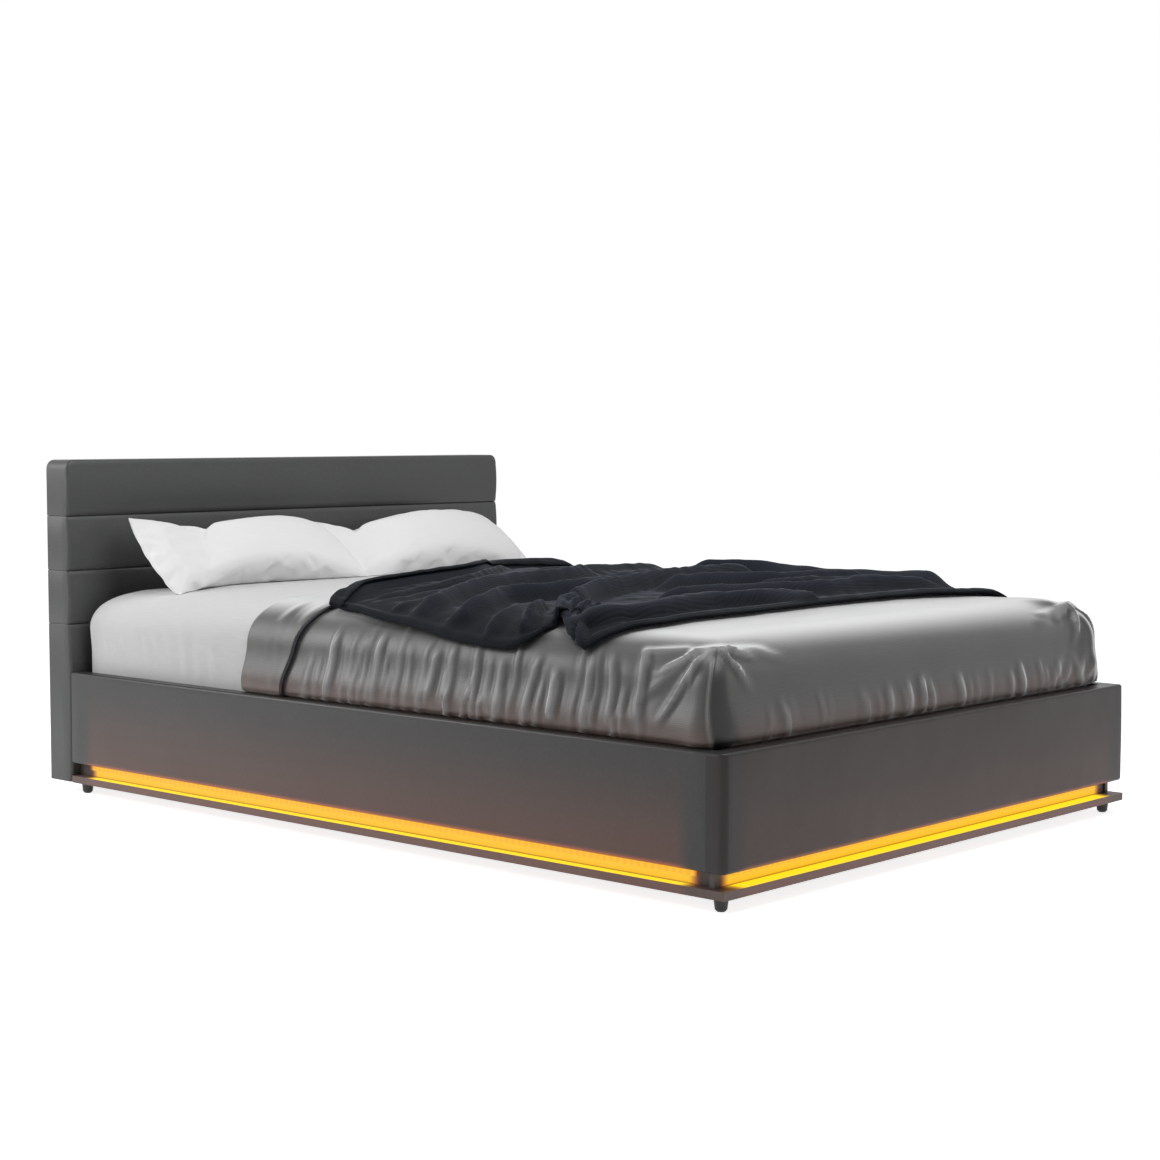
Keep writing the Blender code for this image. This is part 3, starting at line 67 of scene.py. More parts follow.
mattressLow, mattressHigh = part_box("mattress")
railLow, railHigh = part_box("side_rail_cover_left")
boardLow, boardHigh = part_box("headboard_board")


# Materials

softly = {"interpolation_type": "SMOOTHSTEP"}
multiply = {"operation": "MULTIPLY"}
larger = {"operation": "MAXIMUM"}
inColour = {"data_type": "RGBA"}


def hexColour(text):
    # sRGB hex to the linear value that Blender works in
    parts = [int(text[place:place + 2], 16) / 255 for place in (1, 3, 5)]
    return tuple(c / 12.92 if c <= 0.04045 else ((c + 0.055) / 1.055) ** 2.4 for c in parts) + (1.0,)


def addNode(tree, kind, settings=None, inputs=()):
    # settings are the node's own, with stops for a ramp. inputs come in order or by name, each a
    # value, a hex colour, a socket, or a node whose first output in use is linked
    node = tree.nodes.new(kind)
    for name, value in (settings or {}).items():
        if name == "stops":
            ramp = node.color_ramp.elements
            while len(ramp) < len(value):
                ramp.new(1.0)
            for element, (place, colour) in zip(ramp, value):
                element.position = place
                element.color = hexColour(colour)
        else:
            setattr(node, name, value)
    if isinstance(inputs, dict):
        pairs = [(node.inputs[name], value) for name, value in inputs.items()]
    else:
        pairs = list(zip([socket for socket in node.inputs if socket.enabled], inputs))
    for socket, value in pairs:
        if isinstance(value, bpy.types.Node):
            value = next(output for output in value.outputs if output.enabled)
        if isinstance(value, bpy.types.NodeSocket):
            tree.links.new(value, socket)
        elif isinstance(value, str) and value.startswith("#"):
            socket.default_value = hexColour(value)
        else:
            socket.default_value = value
    return node


def startMaterial(name):
    # A new material, addNode for its tree, and the coordinates of its surface
    material = bpy.data.materials.new(name)
    material.use_nodes = True
    material.node_tree.nodes.clear()
    add = partial(addNode, material.node_tree)
    return material, add, add("ShaderNodeTexCoord").outputs


# Painted light of the lit plinth: the strip's glow on the riser, the ledge and the rails is emitted by their
# own materials
light = {
    "lemon": "#ffdc14",        # the ledge under the strip, which the camera sees as the brightest
    "ember": "#e0561a",        # where the light dies out
    "sideReach": (mattressLow.y + 0.012, boardLow.y - 0.088),
    "footReach": (-0.700, 0.690),
    "fade": 0.030,
    "ledgeFade": 0.042,
    "stripFade": 0.020,
    "railFade": 0.050,
    "spill": 0.011,            # height of the orange fringe on the rails' lower edge
    "haze": 0.20,              # height of the faint glow over it
    "pitch": 0.017,            # spacing of the diodes
}


def glowAlong(add, where, axis, reach, fade):
    # 1 along the lit length and 0 past its ends, on one of the object's axes
    split = add("ShaderNodeSeparateXYZ", None, [where["Object"]]).outputs
    low, high = reach
    up = add("ShaderNodeMapRange", softly, [split[axis], low, low + fade, 0.0, 1.0])
    down = add("ShaderNodeMapRange", softly, [split[axis], high - fade, high, 1.0, 0.0])
    return add("ShaderNodeMath", multiply, [up, down]), split


def makeLeather(name, tint, axis=None, reach=None, cast=None):
    # Polyurethane leather, calendered and embossed: a satin skin with a fine pebble grain,
    # drawn at about 2.2 mm so that it shows, over slow waves from the foam
    material, add, where = startMaterial(name)
    point = where["Object"]
    cells = add("ShaderNodeTexVoronoi", {"feature": "SMOOTH_F1"}, {"Vector": point, "Scale": 1 / 0.0022})
    fine = add("ShaderNodeTexNoise", None, {"Vector": point, "Scale": 1 / 0.006, "Detail": 4.0})
    slow = add("ShaderNodeTexNoise", None, {"Vector": point, "Scale": 1 / 0.16, "Detail": 2.0})
    mottle = add("ShaderNodeTexNoise", None, {"Vector": point, "Scale": 1 / 0.35, "Detail": 3.0})
    colour = add("ShaderNodeMix", inColour, [mottle, tint[0], tint[1]])
    rubbed = add("ShaderNodeMapRange", softly, [fine, 0.45, 0.75, 0.0, 0.25])
    colour = add("ShaderNodeMix", inColour, [rubbed, colour, tint[2]])
    roughness = add("ShaderNodeMapRange", softly, [mottle, 0.3, 0.7, 0.34, 0.42])
    grain = add("ShaderNodeBump", None, {"Strength": 0.16, "Distance": 0.0005, "Height": cells})
    waves = add("ShaderNodeBump", None, {"Strength": 0.5, "Distance": 0.004, "Height": slow, "Normal": grain})
    # painted shade: the pads' tops, half under the bedding on the rails, are darkened in the colour
    normal = add("ShaderNodeSeparateXYZ", None, [add("ShaderNodeNewGeometry").outputs["Normal"]])
    darkening = (0.10, 0.60, 0.0, 0.92) if axis else (0.35, 0.85, 0.0, 0.55)
    paintedTopShade = add("ShaderNodeMapRange", softly, [normal.outputs["Z"], *darkening])
    colour = add("ShaderNodeMix", inColour, [paintedTopShade, colour, "#0b0b0b"])
    inputs = {"Base Color": colour, "Roughness": roughness, "IOR": 1.48, "Normal": waves,
              "Specular IOR Level": 0.32, "Sheen Weight": 0.03, "Sheen Roughness": 0.5}
    if axis:
        # painted light: the strip's spill on the rails, emitted as an orange fringe and a haze; cast gives how
        # strong each is
        along, split = glowAlong(add, where, axis, reach, light["railFade"])
        low = railLow.z
        fringe = add("ShaderNodeMapRange", softly, [split["Z"], low, low + light["spill"], 1.0, 0.0])
        fringe = add("ShaderNodeMath", multiply, [fringe, cast[1]])
        haze = add("ShaderNodeMapRange", softly, [split["Z"], low, low + light["haze"], cast[0], 0.004])
        both = add("ShaderNodeMath", {"operation": "ADD"}, [fringe, haze])
        inputs["Emission Color"] = "#e8702c"
        inputs["Emission Strength"] = add("ShaderNodeMath", multiply, [both, along])
    add("ShaderNodeOutputMaterial", None, [add("ShaderNodeBsdfPrincipled", None, inputs)])
    return material


def makeGlowWall(name, axis, reach):
    # Painted light: the leather-covered riser behind the strip glows by emission where the strip lights it,
    # amber, redder towards its top and its ends
    material, add, where = startMaterial(name)
    along, split = glowAlong(add, where, axis, reach, light["fade"])
    low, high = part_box("light_riser_left")
    rise = add("ShaderNodeMapRange", None, [split["Z"], low.z, high.z, 0.0, 1.0])
    ramp = add("ShaderNodeValToRGB", {"stops": [(0.0, "#a05a06"), (0.08, "#f4b608"), (0.45, "#f2be08"),
                                                (0.80, "#e8a010"), (1.0, "#cf5a14")]}, [rise])
    edge = add("ShaderNodeMix", inColour, [along, light["ember"], ramp])
    grain = add("ShaderNodeTexNoise", None, {"Vector": where["Object"], "Scale": 1 / 0.003})
    tone = add("ShaderNodeMix", inColour, [grain, "#3d3330", "#4b403b"])
    bump = add("ShaderNodeBump", None, {"Strength": 0.2, "Distance": 0.0005, "Height": grain})
    shader = add("ShaderNodeBsdfPrincipled", None,
                 {"Base Color": tone, "Roughness": 0.5, "Normal": bump, "Emission Color": edge,
                  "Emission Strength": along})
    add("ShaderNodeOutputMaterial", None, [shader])
    return material


def makeLedge(name, axis, reach, outward, wall):
    # Leather-covered ledge, whose outer face is warm brown. Painted light: the strip's light on its top is
    # emitted lemon yellow, with a faint warm glow along all of it.
    # wall is how far out the riser stands on the outward axis
    material, add, where = startMaterial(name)
    along, split = glowAlong(add, where, axis, reach, light["ledgeFade"])
    normal = add("ShaderNodeSeparateXYZ", None, [add("ShaderNodeNewGeometry").outputs["Normal"]])
    isTop = add("ShaderNodeMapRange", softly, [normal.outputs["Z"], 0.5, 0.8, 0.0, 1.0])
    lit = add("ShaderNodeMath", multiply, [isTop, along])
    out = add("ShaderNodeMath", {"operation": "ABSOLUTE"}, [split[outward]])
    fromWall = add("ShaderNodeMapRange", softly, [out, wall, wall + 0.0035, 0.25, 1.0])
    bright = add("ShaderNodeMath", multiply, [lit, fromWall])
    faint = add("ShaderNodeMath", multiply, [along, 0.10])
    strength = add("ShaderNodeMath", larger, [bright, faint])
    grain = add("ShaderNodeTexNoise", None, {"Vector": where["Object"], "Scale": 1 / 0.004, "Detail": 4.0})
    warm = add("ShaderNodeMix", inColour, [grain, "#52433e", "#63504a"])
    bump = add("ShaderNodeBump", None, {"Strength": 0.25, "Distance": 0.0006, "Height": grain})
    glow = add("ShaderNodeMix", inColour, [lit, "#b0583c", light["lemon"]])
    shader = add("ShaderNodeBsdfPrincipled", None,
                 {"Base Color": warm, "Roughness": 0.48, "Normal": bump, "Emission Color": glow,
                  "Emission Strength": strength})
    add("ShaderNodeOutputMaterial", None, [shader])
    return material


def makeStrip(name, axis, reach):
    # Warm light diodes under a frosted silicone sleeve
    material, add, where = startMaterial(name)
    along = glowAlong(add, where, axis, reach, light["stripFade"])[0]
    spots = add("ShaderNodeTexWave", {"bands_direction": axis, "wave_profile": "SIN"},
                {"Vector": where["Object"], "Scale": math.pi / (10 * light["pitch"])})
    tone = add("ShaderNodeMix", inColour, [spots.outputs["Fac"], "#f2ac08", "#fabc10"])
    tone = add("ShaderNodeMix", inColour, [along, light["ember"], tone])
    strength = add("ShaderNodeMapRange", softly, [along, 0.0, 1.0, 0.3, 0.95])
    shader = add("ShaderNodeBsdfPrincipled", None,
                 {"Base Color": "#5a4a30", "Roughness": 0.5, "Emission Color": tone,
                  "Emission Strength": strength})
    add("ShaderNodeOutputMaterial", None, [shader])
    return material


def makeTimber(name, tones, grainAxis):
    # Sawn softwood: long streaks of early and late wood about 6 mm apart
    material, add, where = startMaterial(name)
    stretch = {"X": (0.06, 1, 1), "Y": (1, 0.06, 1)}[grainAxis]
    mapped = add("ShaderNodeMapping", None, {"Vector": where["Object"], "Scale": stretch})
    rings = add("ShaderNodeTexNoise", None,
                {"Vector": mapped, "Scale": 1 / 0.012, "Detail": 6.0, "Distortion": 0.8})
    ramp = add("ShaderNodeValToRGB", {"stops": [(0.30, tones[0]), (0.50, tones[1]), (0.66, tones[2])]}, [rings])
    bump = add("ShaderNodeBump", None, {"Strength": 0.3, "Distance": 0.0004, "Height": rings})
    rough = add("ShaderNodeMapRange", softly, [rings, 0.3, 0.7, 0.55, 0.72])
    shader = add("ShaderNodeBsdfPrincipled", None,
                 {"Base Color": ramp, "Roughness": rough, "IOR": 1.5, "Normal": bump})
    add("ShaderNodeOutputMaterial", None, [shader])
    return material


def makePlywood(name):
    # Birch plywood: pale face with fine figure, and the plies in its edge
    material, add, where = startMaterial(name)
    mapped = add("ShaderNodeMapping", None, {"Vector": where["Object"], "Scale": (1, 0.10, 1)})
    figure = add("ShaderNodeTexNoise", None,
                 {"Vector": mapped, "Scale": 1 / 0.018, "Detail": 6.0, "Distortion": 1.2})
    face = add("ShaderNodeValToRGB", {"stops": [(0.32, "#c9a877"), (0.55, "#dcc094"), (0.72, "#e6cfa6")]},
               [figure])
    plies = add("ShaderNodeTexWave", {"bands_direction": "Z"},
                {"Vector": where["Object"], "Scale": math.pi / (10 * 0.0034), "Distortion": 0.4})
    edge = add("ShaderNodeMix", inColour, [plies.outputs["Fac"], "#8d6a43", "#d6b98b"])
    normal = add("ShaderNodeSeparateXYZ", None, [add("ShaderNodeNewGeometry").outputs["Normal"]])
    flat = add("ShaderNodeMath", {"operation": "ABSOLUTE"}, [normal.outputs["Z"]])
    isFace = add("ShaderNodeMapRange", softly, [flat, 0.4, 0.8, 0.0, 1.0])
    colour = add("ShaderNodeMix", inColour, [isFace, edge, face])
    bump = add("ShaderNodeBump", None, {"Strength": 0.2, "Distance": 0.0003, "Height": figure})
    shader = add("ShaderNodeBsdfPrincipled", None,
                 {"Base Color": colour, "Roughness": 0.5, "IOR": 1.5, "Normal": bump})
    add("ShaderNodeOutputMaterial", None, [shader])
    return material


def makeSpeckled(name, tones, size, rough, metallic=0.0, depth=0.0003):
    # A sprayed, moulded or pressed surface: fine speckle in colour, gloss and height
    material, add, where = startMaterial(name)
    speckle = add("ShaderNodeTexNoise", None,
                  {"Vector": where["Object"], "Scale": 1 / size, "Detail": 5.0, "Roughness": 0.6})
    patches = add("ShaderNodeTexNoise", None, {"Vector": where["Object"], "Scale": 1 / 0.09, "Detail": 3.0})
    colour = add("ShaderNodeMix", inColour, [speckle, tones[0], tones[1]])
    roughness = add("ShaderNodeMapRange", softly, [patches, 0.3, 0.7, rough - 0.05, rough + 0.06])
    bump = add("ShaderNodeBump", None, {"Strength": 0.25, "Distance": depth, "Height": speckle})
    shader = add("ShaderNodeBsdfPrincipled", None,
                 {"Base Color": colour, "Roughness": roughness, "Metallic": metallic, "IOR": 1.5,
                  "Normal": bump})
    add("ShaderNodeOutputMaterial", None, [shader])
    return material


def makeCloth(name, tones, threads, relief, rough, sheen, gloss=0.25, warmth=None, foldShadeAndHighlight=None, paintedSheen=None):
    # Woven or knitted cloth on the piece's own UV map, which is in metres of fabric
    material, add, where = startMaterial(name)
    flat = where["UV"]
    thread = {"Vector": flat, "Distortion": 0.6, "Detail": 1.0}
    warp = add("ShaderNodeTexWave", {"bands_direction": "X"}, {**thread, "Scale": math.pi / (10 * threads[0])})
    weft = add("ShaderNodeTexWave", {"bands_direction": "Y"}, {**thread, "Scale": math.pi / (10 * threads[1])})
    weave = add("ShaderNodeMath", larger, [add("ShaderNodeMath", multiply, [warp.outputs["Fac"], relief[0]]),
                                           add("ShaderNodeMath", multiply, [weft.outputs["Fac"], relief[1]])])
    streaks = add("ShaderNodeMapping", None, {"Vector": flat, "Scale": (1, 12, 1)})
    slub = add("ShaderNodeTexNoise", None, {"Vector": streaks, "Scale": 1 / 0.05, "Detail": 4.0})
    patches = add("ShaderNodeTexNoise", None, {"Vector": where["Object"], "Scale": 1 / 0.20, "Detail": 3.0})
    colour = add("ShaderNodeMix", inColour, [weave, tones[0], tones[1]])
    uneven = add("ShaderNodeMapRange", softly, [slub, 0.40, 0.75, 0.0, 0.35])
    colour = add("ShaderNodeMix", inColour, [uneven, colour, tones[2]])
    if warmth:
        # a faint warm cast low down, where the lit ledge shines back from the floor
        height = add("ShaderNodeSeparateXYZ", None, [where["Object"]]).outputs["Z"]
        low = add("ShaderNodeMapRange", softly, [height, warmth[1], warmth[2], warmth[3], 0.0])
        colour = add("ShaderNodeMix", inColour, [low, colour, warmth[0]])
    if foldShadeAndHighlight:
        # painted highlight, paler on the ridges, and painted shade, dark in the hollows that little light
        # reaches
        depth = add("ShaderNodeAttribute", {"attribute_name": "fold"}).outputs["Fac"]
        hollow = add("ShaderNodeMapRange", softly, [depth, -1.0, 0.0, 1.0, 0.0])
        colour = add("ShaderNodeMix", inColour, [hollow, colour, foldShadeAndHighlight[0]])
        ridge = add("ShaderNodeMapRange", softly, [depth, 0.0, 1.0, 0.0, 0.8])
        colour = add("ShaderNodeMix", inColour, [ridge, colour, foldShadeAndHighlight[1]])
    if paintedSheen:
        # painted sheen: the floats of the weave are painted pale where they are seen at a slant
        facing = add("ShaderNodeLayerWeight", None, {"Blend": 0.5}).outputs["Facing"]
        sheenShare = add("ShaderNodeMapRange", softly, [facing, paintedSheen[1], paintedSheen[2], 0.0, paintedSheen[3]])
        colour = add("ShaderNodeMix", inColour, [sheenShare, colour, paintedSheen[0]])
    roughness = add("ShaderNodeMapRange", softly, [patches, 0.3, 0.7, rough - 0.04, rough + 0.05])
    bump = add("ShaderNodeBump", None, {"Strength": 0.5, "Distance": relief[2], "Height": weave})
    loose = add("ShaderNodeBump", None, {"Strength": 0.3, "Distance": 0.002, "Height": patches, "Normal": bump})
    shader = add("ShaderNodeBsdfPrincipled", None,
                 {"Base Color": colour, "Roughness": roughness, "IOR": 1.45, "Normal": loose,
                  "Specular IOR Level": gloss, "Sheen Weight": sheen, "Sheen Roughness": 0.35})
    add("ShaderNodeOutputMaterial", None, [shader])
    return material


pine = ("#a88255", "#c7a375", "#d8b98d")
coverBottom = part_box("coverlet")[0].z
sideWall = abs(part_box("light_riser_left")[0].x)
footWall = abs(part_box("light_riser_foot")[1].y) + 0.0078
materials = {
    # The rails take darker copies of the grey leather, the foot rail's darker and warmer still: painted shade,
    # with a painted warm bounce light on the foot rail
    "leather": makeLeather("pu_leather_grey", ("#454646", "#4c4d4d", "#565757")),
    "leatherSideShaded": makeLeather("pu_leather_side_rails", ("#393a3a", "#404141", "#4a4b4b"), "Y",
                               light["sideReach"], (0.060, 0.34)),
    "leatherFootShaded": makeLeather("pu_leather_foot_rail", ("#252120", "#2b2625", "#342f2d"), "X",
                               light["footReach"], (0.022, 0.20)),
    "leatherPlinth": makeLeather("pu_leather_plinth", ("#41362f", "#4a3e38", "#574a44")),
    "wallSide": makeGlowWall("lit_riser_side", "Y", light["sideReach"]),
    "wallFoot": makeGlowWall("lit_riser_foot", "X", light["footReach"]),
    "stripSide": makeStrip("frosted_strip_side", "Y", light["sideReach"]),
    "stripFoot": makeStrip("frosted_strip_foot", "X", light["footReach"]),
    "ledgeSide": makeLedge("lit_ledge_side", "Y", light["sideReach"], "X", sideWall),
    "ledgeFoot": makeLedge("lit_ledge_foot", "X", light["footReach"], "Y", footWall),
    "timberX": makeTimber("sawn_pine_crosswise", pine, "X"),
    "timberY": makeTimber("sawn_pine_lengthwise", pine, "Y"),
    "plywood": makePlywood("birch_plywood_board"),
    "blackBoard": makeSpeckled("black_fibreboard", ("#1c1c1d", "#2a2a2b"), 0.0016, 0.75),
    "powderCoat": makeSpeckled("powder_coated_steel", ("#1d1e20", "#2b2c2e"), 0.0012, 0.42),
    "chrome": makeSpeckled("hard_chromed_steel", ("#c4c6c9", "#d6d8da"), 0.0030, 0.12, 1.0, 0.00005),
    "steelPin": makeSpeckled("zinc_plated_steel", ("#8f9296", "#a4a7aa"), 0.0012, 0.38, 1.0, 0.00005),
    "abs": makeSpeckled("moulded_abs", ("#141415", "#1f1f20"), 0.0009, 0.45, 0.0, 0.0002),
    "cotton": makeCloth("cotton_percale", ("#c4c4c4", "#cfcfcf", "#d6d6d6"), (0.0022, 0.0022),
                        (0.9, 1.0, 0.0002), 0.80, 0.05),
    "pillowCotton": makeCloth("washed_cotton_pillowcase", ("#e6e6e6", "#efefef", "#f2f2f2"), (0.0022, 0.0022),
                              (0.9, 1.0, 0.0001), 0.80, 0.05),
    "sateen": makeCloth("ribbed_grey_sateen", ("#3b3a39", "#444342", "#4c4b4a"), (0.0034, 0.0038),
                        (0.45, 1.0, 0.0002), 0.42, 0.6, 0.60,
                        warmth=("#8e6a5c", coverBottom + 0.035, coverBottom + 0.11, 0.35),
                        foldShadeAndHighlight=("#121212", "#8a8a8a"), paintedSheen=("#d4d5d5", 0.50, 0.80, 0.95)),
    "knit": makeCloth("ribbed_navy_knit", ("#0b0c10", "#15181e", "#1f242c"), (0.0046, 0.0060),
                      (0.8, 1.0, 0.0014), 0.74, 0.0, 0.12, foldShadeAndHighlight=("#060709", "#1b1f27"),
                      paintedSheen=("#4b505a", 0.78, 0.98, 0.5)),
    "ticking": makeCloth("knitted_ticking", ("#cfcdc6", "#e2e0da", "#eceae5"), (0.0030, 0.0030),
                         (0.8, 1.0, 0.0004), 0.85, 0.10),
    "webbing": makeCloth("polyester_webbing", ("#101011", "#1e1e20", "#2a2a2c"), (0.0022, 0.0040),
                         (0.7, 1.0, 0.0006), 0.70, 0.15),
    "piping": makeCloth("dark_cotton_piping", ("#26272a", "#3a3b3f", "#45464a"), (0.0020, 0.0020),
                        (0.8, 1.0, 0.0003), 0.65, 0.20),
}
print("materials made:", len(materials))

nodeMaterials = {
    "abs": ("leg_", "light_driver"),
    "leatherPlinth": ("plinth_ledge_head",),
    "ledgeSide": ("plinth_ledge_left", "plinth_ledge_right"),
    "ledgeFoot": ("plinth_ledge_foot",),
    "wallSide": ("light_riser_left", "light_riser_right"),
    "wallFoot": ("light_riser_foot",),
    "stripSide": ("light_strip_left", "light_strip_right"),
    "stripFoot": ("light_strip_foot",),
    "timberX": ("foot_rail_board", "headboard_board", "foot_batten"),
    "timberY": ("floor_beam", "side_rail_board", "side_batten"),
    "plywood": ("deck_board",),
    "blackBoard": ("storage_floor", "headboard_back_panel"),
    "powderCoat": ("platform_", "lift_base", "main_link", "guide_link", "gas_cylinder"),
    "chrome": ("gas_rod",),
}
for name, node in nodes.items():
    for key, starts in nodeMaterials.items():
        if name.startswith(starts):
            node.data.materials.clear()
            node.data.materials.append(materials[key])


# Mesh helpers

def makePiece(name, points, faces, material, uv=None, merge=0.0):
    # A new mesh piece at the origin; uv is one place per point
    mesh = bpy.data.meshes.new(name)
    mesh.from_pydata([tuple(p) for p in points], [], [tuple(f) for f in faces])
    if uv is not None:
        layer = mesh.uv_layers.new(name="UVMap")
        for loop in mesh.loops:
            layer.data[loop.index].uv = uv[loop.vertex_index]
    piece = bpy.data.objects.new(name, mesh)
    bpy.context.scene.collection.objects.link(piece)
    piece.data.materials.append(material)
    if merge:
        bm = bmesh.new()
        bm.from_mesh(mesh)
        bmesh.ops.remove_doubles(bm, verts=bm.verts, dist=merge)
        bmesh.ops.dissolve_degenerate(bm, edges=bm.edges, dist=merge)
        bmesh.ops.recalc_face_normals(bm, faces=bm.faces)
        bm.to_mesh(mesh)
        bm.free()
    mesh.shade_smooth()
    return piece


def markFolds(piece, depth):
    # depth is one value per point, from -1 in a hollow to 1 on a ridge, which the cloth's material turns into
    # painted shade and painted highlight
    layer = piece.data.attributes.new("fold", "FLOAT", "POINT")
    layer.data.foreach_set("value", np.asarray(depth, dtype=np.float32))


def gridFaces(rows, columns, closed=False):
    faces = []
    for i in range(rows if closed else rows - 1):
        after = (i + 1) % rows
        for j in range(columns - 1):
            faces.append((i * columns + j, after * columns + j, after * columns + j + 1, i * columns + j + 1))
    return faces


def loopFaces(sections, count):
    # Faces round closed sections of count points each, with a cap at both ends
    faces = []
    for i in range(sections - 1):
        for j in range(count):
            after = (j + 1) % count
            faces.append((i * count + j, i * count + after, (i + 1) * count + after, (i + 1) * count + j))
    faces.append(tuple(range(count)))
    faces.append(tuple(reversed(range((sections - 1) * count, sections * count))))
    return faces


def addModifier(piece, kind, settings):
    step = piece.modifiers.new(kind.lower(), kind)
    for name, value in settings.items():
        setattr(step, name, value)
    return step


def bakeModifiers(piece):
    # The evaluated mesh takes the place of the piece's own, and the modifiers go
    evaluated = piece.evaluated_get(bpy.context.evaluated_depsgraph_get())
    mesh = bpy.data.meshes.new_from_object(evaluated)
    old = piece.data
    piece.modifiers.clear()
    piece.data = mesh
    bpy.data.meshes.remove(old)
    mesh.name = piece.name


def settle(piece, body, slot, *replaced):
    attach(piece, body)
    if replaced:
        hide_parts(*replaced)


def roundBend(centre, radius, angle):
    # Place and outward direction on a rounded corner
    way = (math.cos(angle), math.sin(angle))
    return (centre[0] + radius * way[0], centre[1] + radius * way[1]), way


def wave(value, seed):
    # Smooth noise of one or more coordinates, from -1 to 1
    return noise.noise(Vector((value[0], value[1], seed)))


# Headboard and foot rail: leather over foam, with soft edges and puckers at the seams

pads = {
    "step": 0.012,         # spacing of points along the pad
    "pucker": 0.0009,      # height of the small pulls beside a seam
    "puckerReach": 0.020,
    "puckerLength": 0.030,
    "bulge": 0.0008,       # slow waves of the foam
    "facing": 0.030,       # depth behind the front over which both fade
    "fit": 0.0003,         # room round the board in a pocket
    "open": 0.010,         # how far a pocket runs out of an open side
    "sharp": math.radians(40),
}


def padSection(low, high, back, front, shape):
    # Closed section in (y, z), from the back's lower corner round the front to its upper corner
    edge, sink, crown = shape["edge"], shape["sink"], shape["crown"]
    tall = high - low - 2 * edge
    points = []
    for step in range(6):
        points.append((back + (front + sink - back) * step / 5, low))
    for step in range(1, 9):
        angle = math.pi / 2 * step / 8
        y = front + crown + (sink - crown) * (1 - math.sin(angle))
        points.append((y, low + edge * (1 - math.cos(angle))))
    rows = max(6, round(tall / 0.010))
    for step in range(1, rows):
        share = step / rows
        points.append((front + crown * (2 * share - 1) ** 2, low + edge + tall * share))
    for step in range(9):
        angle = math.pi / 2 * (1 - step / 8)
        y = front + crown + (sink - crown) * (1 - math.sin(angle))
        points.append((y, high - edge * (1 - math.cos(angle))))
    for step in range(1, 6):
        points.append((front + sink + (back - front - sink) * step / 5, high))
    return points


def rounding(radius, gap):
    # How far a rounded end has drawn back, gap metres in from it
    return radius - math.sqrt(max(0, radius ** 2 - max(0, radius - gap) ** 2))


def makePad(name, box, shape, seed, material):
    # A leather pad as wide as the bed, whose back is open for a pocket
    half = cadHigh.x
    low, high, back, front = box[0].z, box[1].z, box[1].y, box[0].y
    section = padSection(low, high, back, front, shape)
    gaps = [0.0, 0.0008, 0.002, 0.004, 0.007, 0.011, 0.016, 0.022]
    reach = max(shape["endRadius"], shape["corner"])
    gaps = [gap for gap in gaps if gap < reach] + [reach]
    inner = half - reach
    count = round(2 * inner / pads["step"])
    xs = [-half + gap for gap in gaps] + [-inner + 2 * inner * i / count for i in range(1, count)]
    xs += [half - gap for gap in reversed(gaps)]
    points = []
    for x in xs:
        gap = half - abs(x)
        drawn = rounding(shape["endRadius"], gap)
        dropped = rounding(shape["corner"], gap)
        pinched = rounding(shape["rim"], gap)
        middle = (low + high) / 2
        for y, z in section:
            share = (z - low) / (high - low)
            tall = z - dropped * share
            tall = middle + (tall - middle) * (1 - pinched / (high - low) * 2)
            face = max(0.0, 1 - (y - front) / pads["facing"])
            near = min(abs(z - low), abs(high - z))
            pull = pads["pucker"] * math.exp(-near / pads["puckerReach"])
            pull *= wave((x / pads["puckerLength"], z / 0.05), seed)
            slow = pads["bulge"] * wave((x / 0.22, z / 0.10), seed + 7.3)
            points.append((x, min(back, y + drawn + face * (pull + slow)), tall))
    return makePiece(name, points, loopFaces(len(xs), len(section)), material, merge=0.00002)


def cutPocket(piece, low, high):
    # The board behind the foam fits in this pocket
    bm = bmesh.new()
    size = Vector(high) - Vector(low)
    centre = (Vector(high) + Vector(low)) / 2
    bmesh.ops.create_cube(bm, size=1, matrix=Matrix.Translation(centre) @ Matrix.Diagonal((*size, 1)))
    mesh = bpy.data.meshes.new("pocket")
    bm.to_mesh(mesh)
    bm.free()
    helper = bpy.data.objects.new("pocket", mesh)
    bpy.context.scene.collection.objects.link(helper)
    addModifier(piece, "BOOLEAN", {"object": helper, "operation": "DIFFERENCE", "solver": "EXACT"})
    bakeModifiers(piece)
    bpy.data.objects.remove(helper)
    piece.data.set_sharp_from_angle(angle=pads["sharp"])


headboard = {"edge": 0.017, "sink": 0.009, "crown": 0.003, "endRadius": 0.008, "corner": 0.022, "rim": 0.002}
for index in range(1, 5):
    low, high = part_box(f"headboard_band_{index}")
    # only the top band, number 1, closes over the board and has rounded corners
    shape = {**headboard, "corner": headboard["corner"] if index == 1 else 0.0}
    piece = makePad(f"headboard_leather_{index}", (low, high), shape, 3.1 * index, materials["leather"])
    top = boardHigh.z + pads["fit"] if index == 1 else high.z + pads["open"]
    cutPocket(piece, (boardLow.x - pads["fit"], boardLow.y - pads["fit"], low.z - pads["open"]),
              (boardHigh.x + pads["fit"], high.y + pads["open"], top))
    settle(piece, "base", "grey_leather", f"headboard_band_{index}")

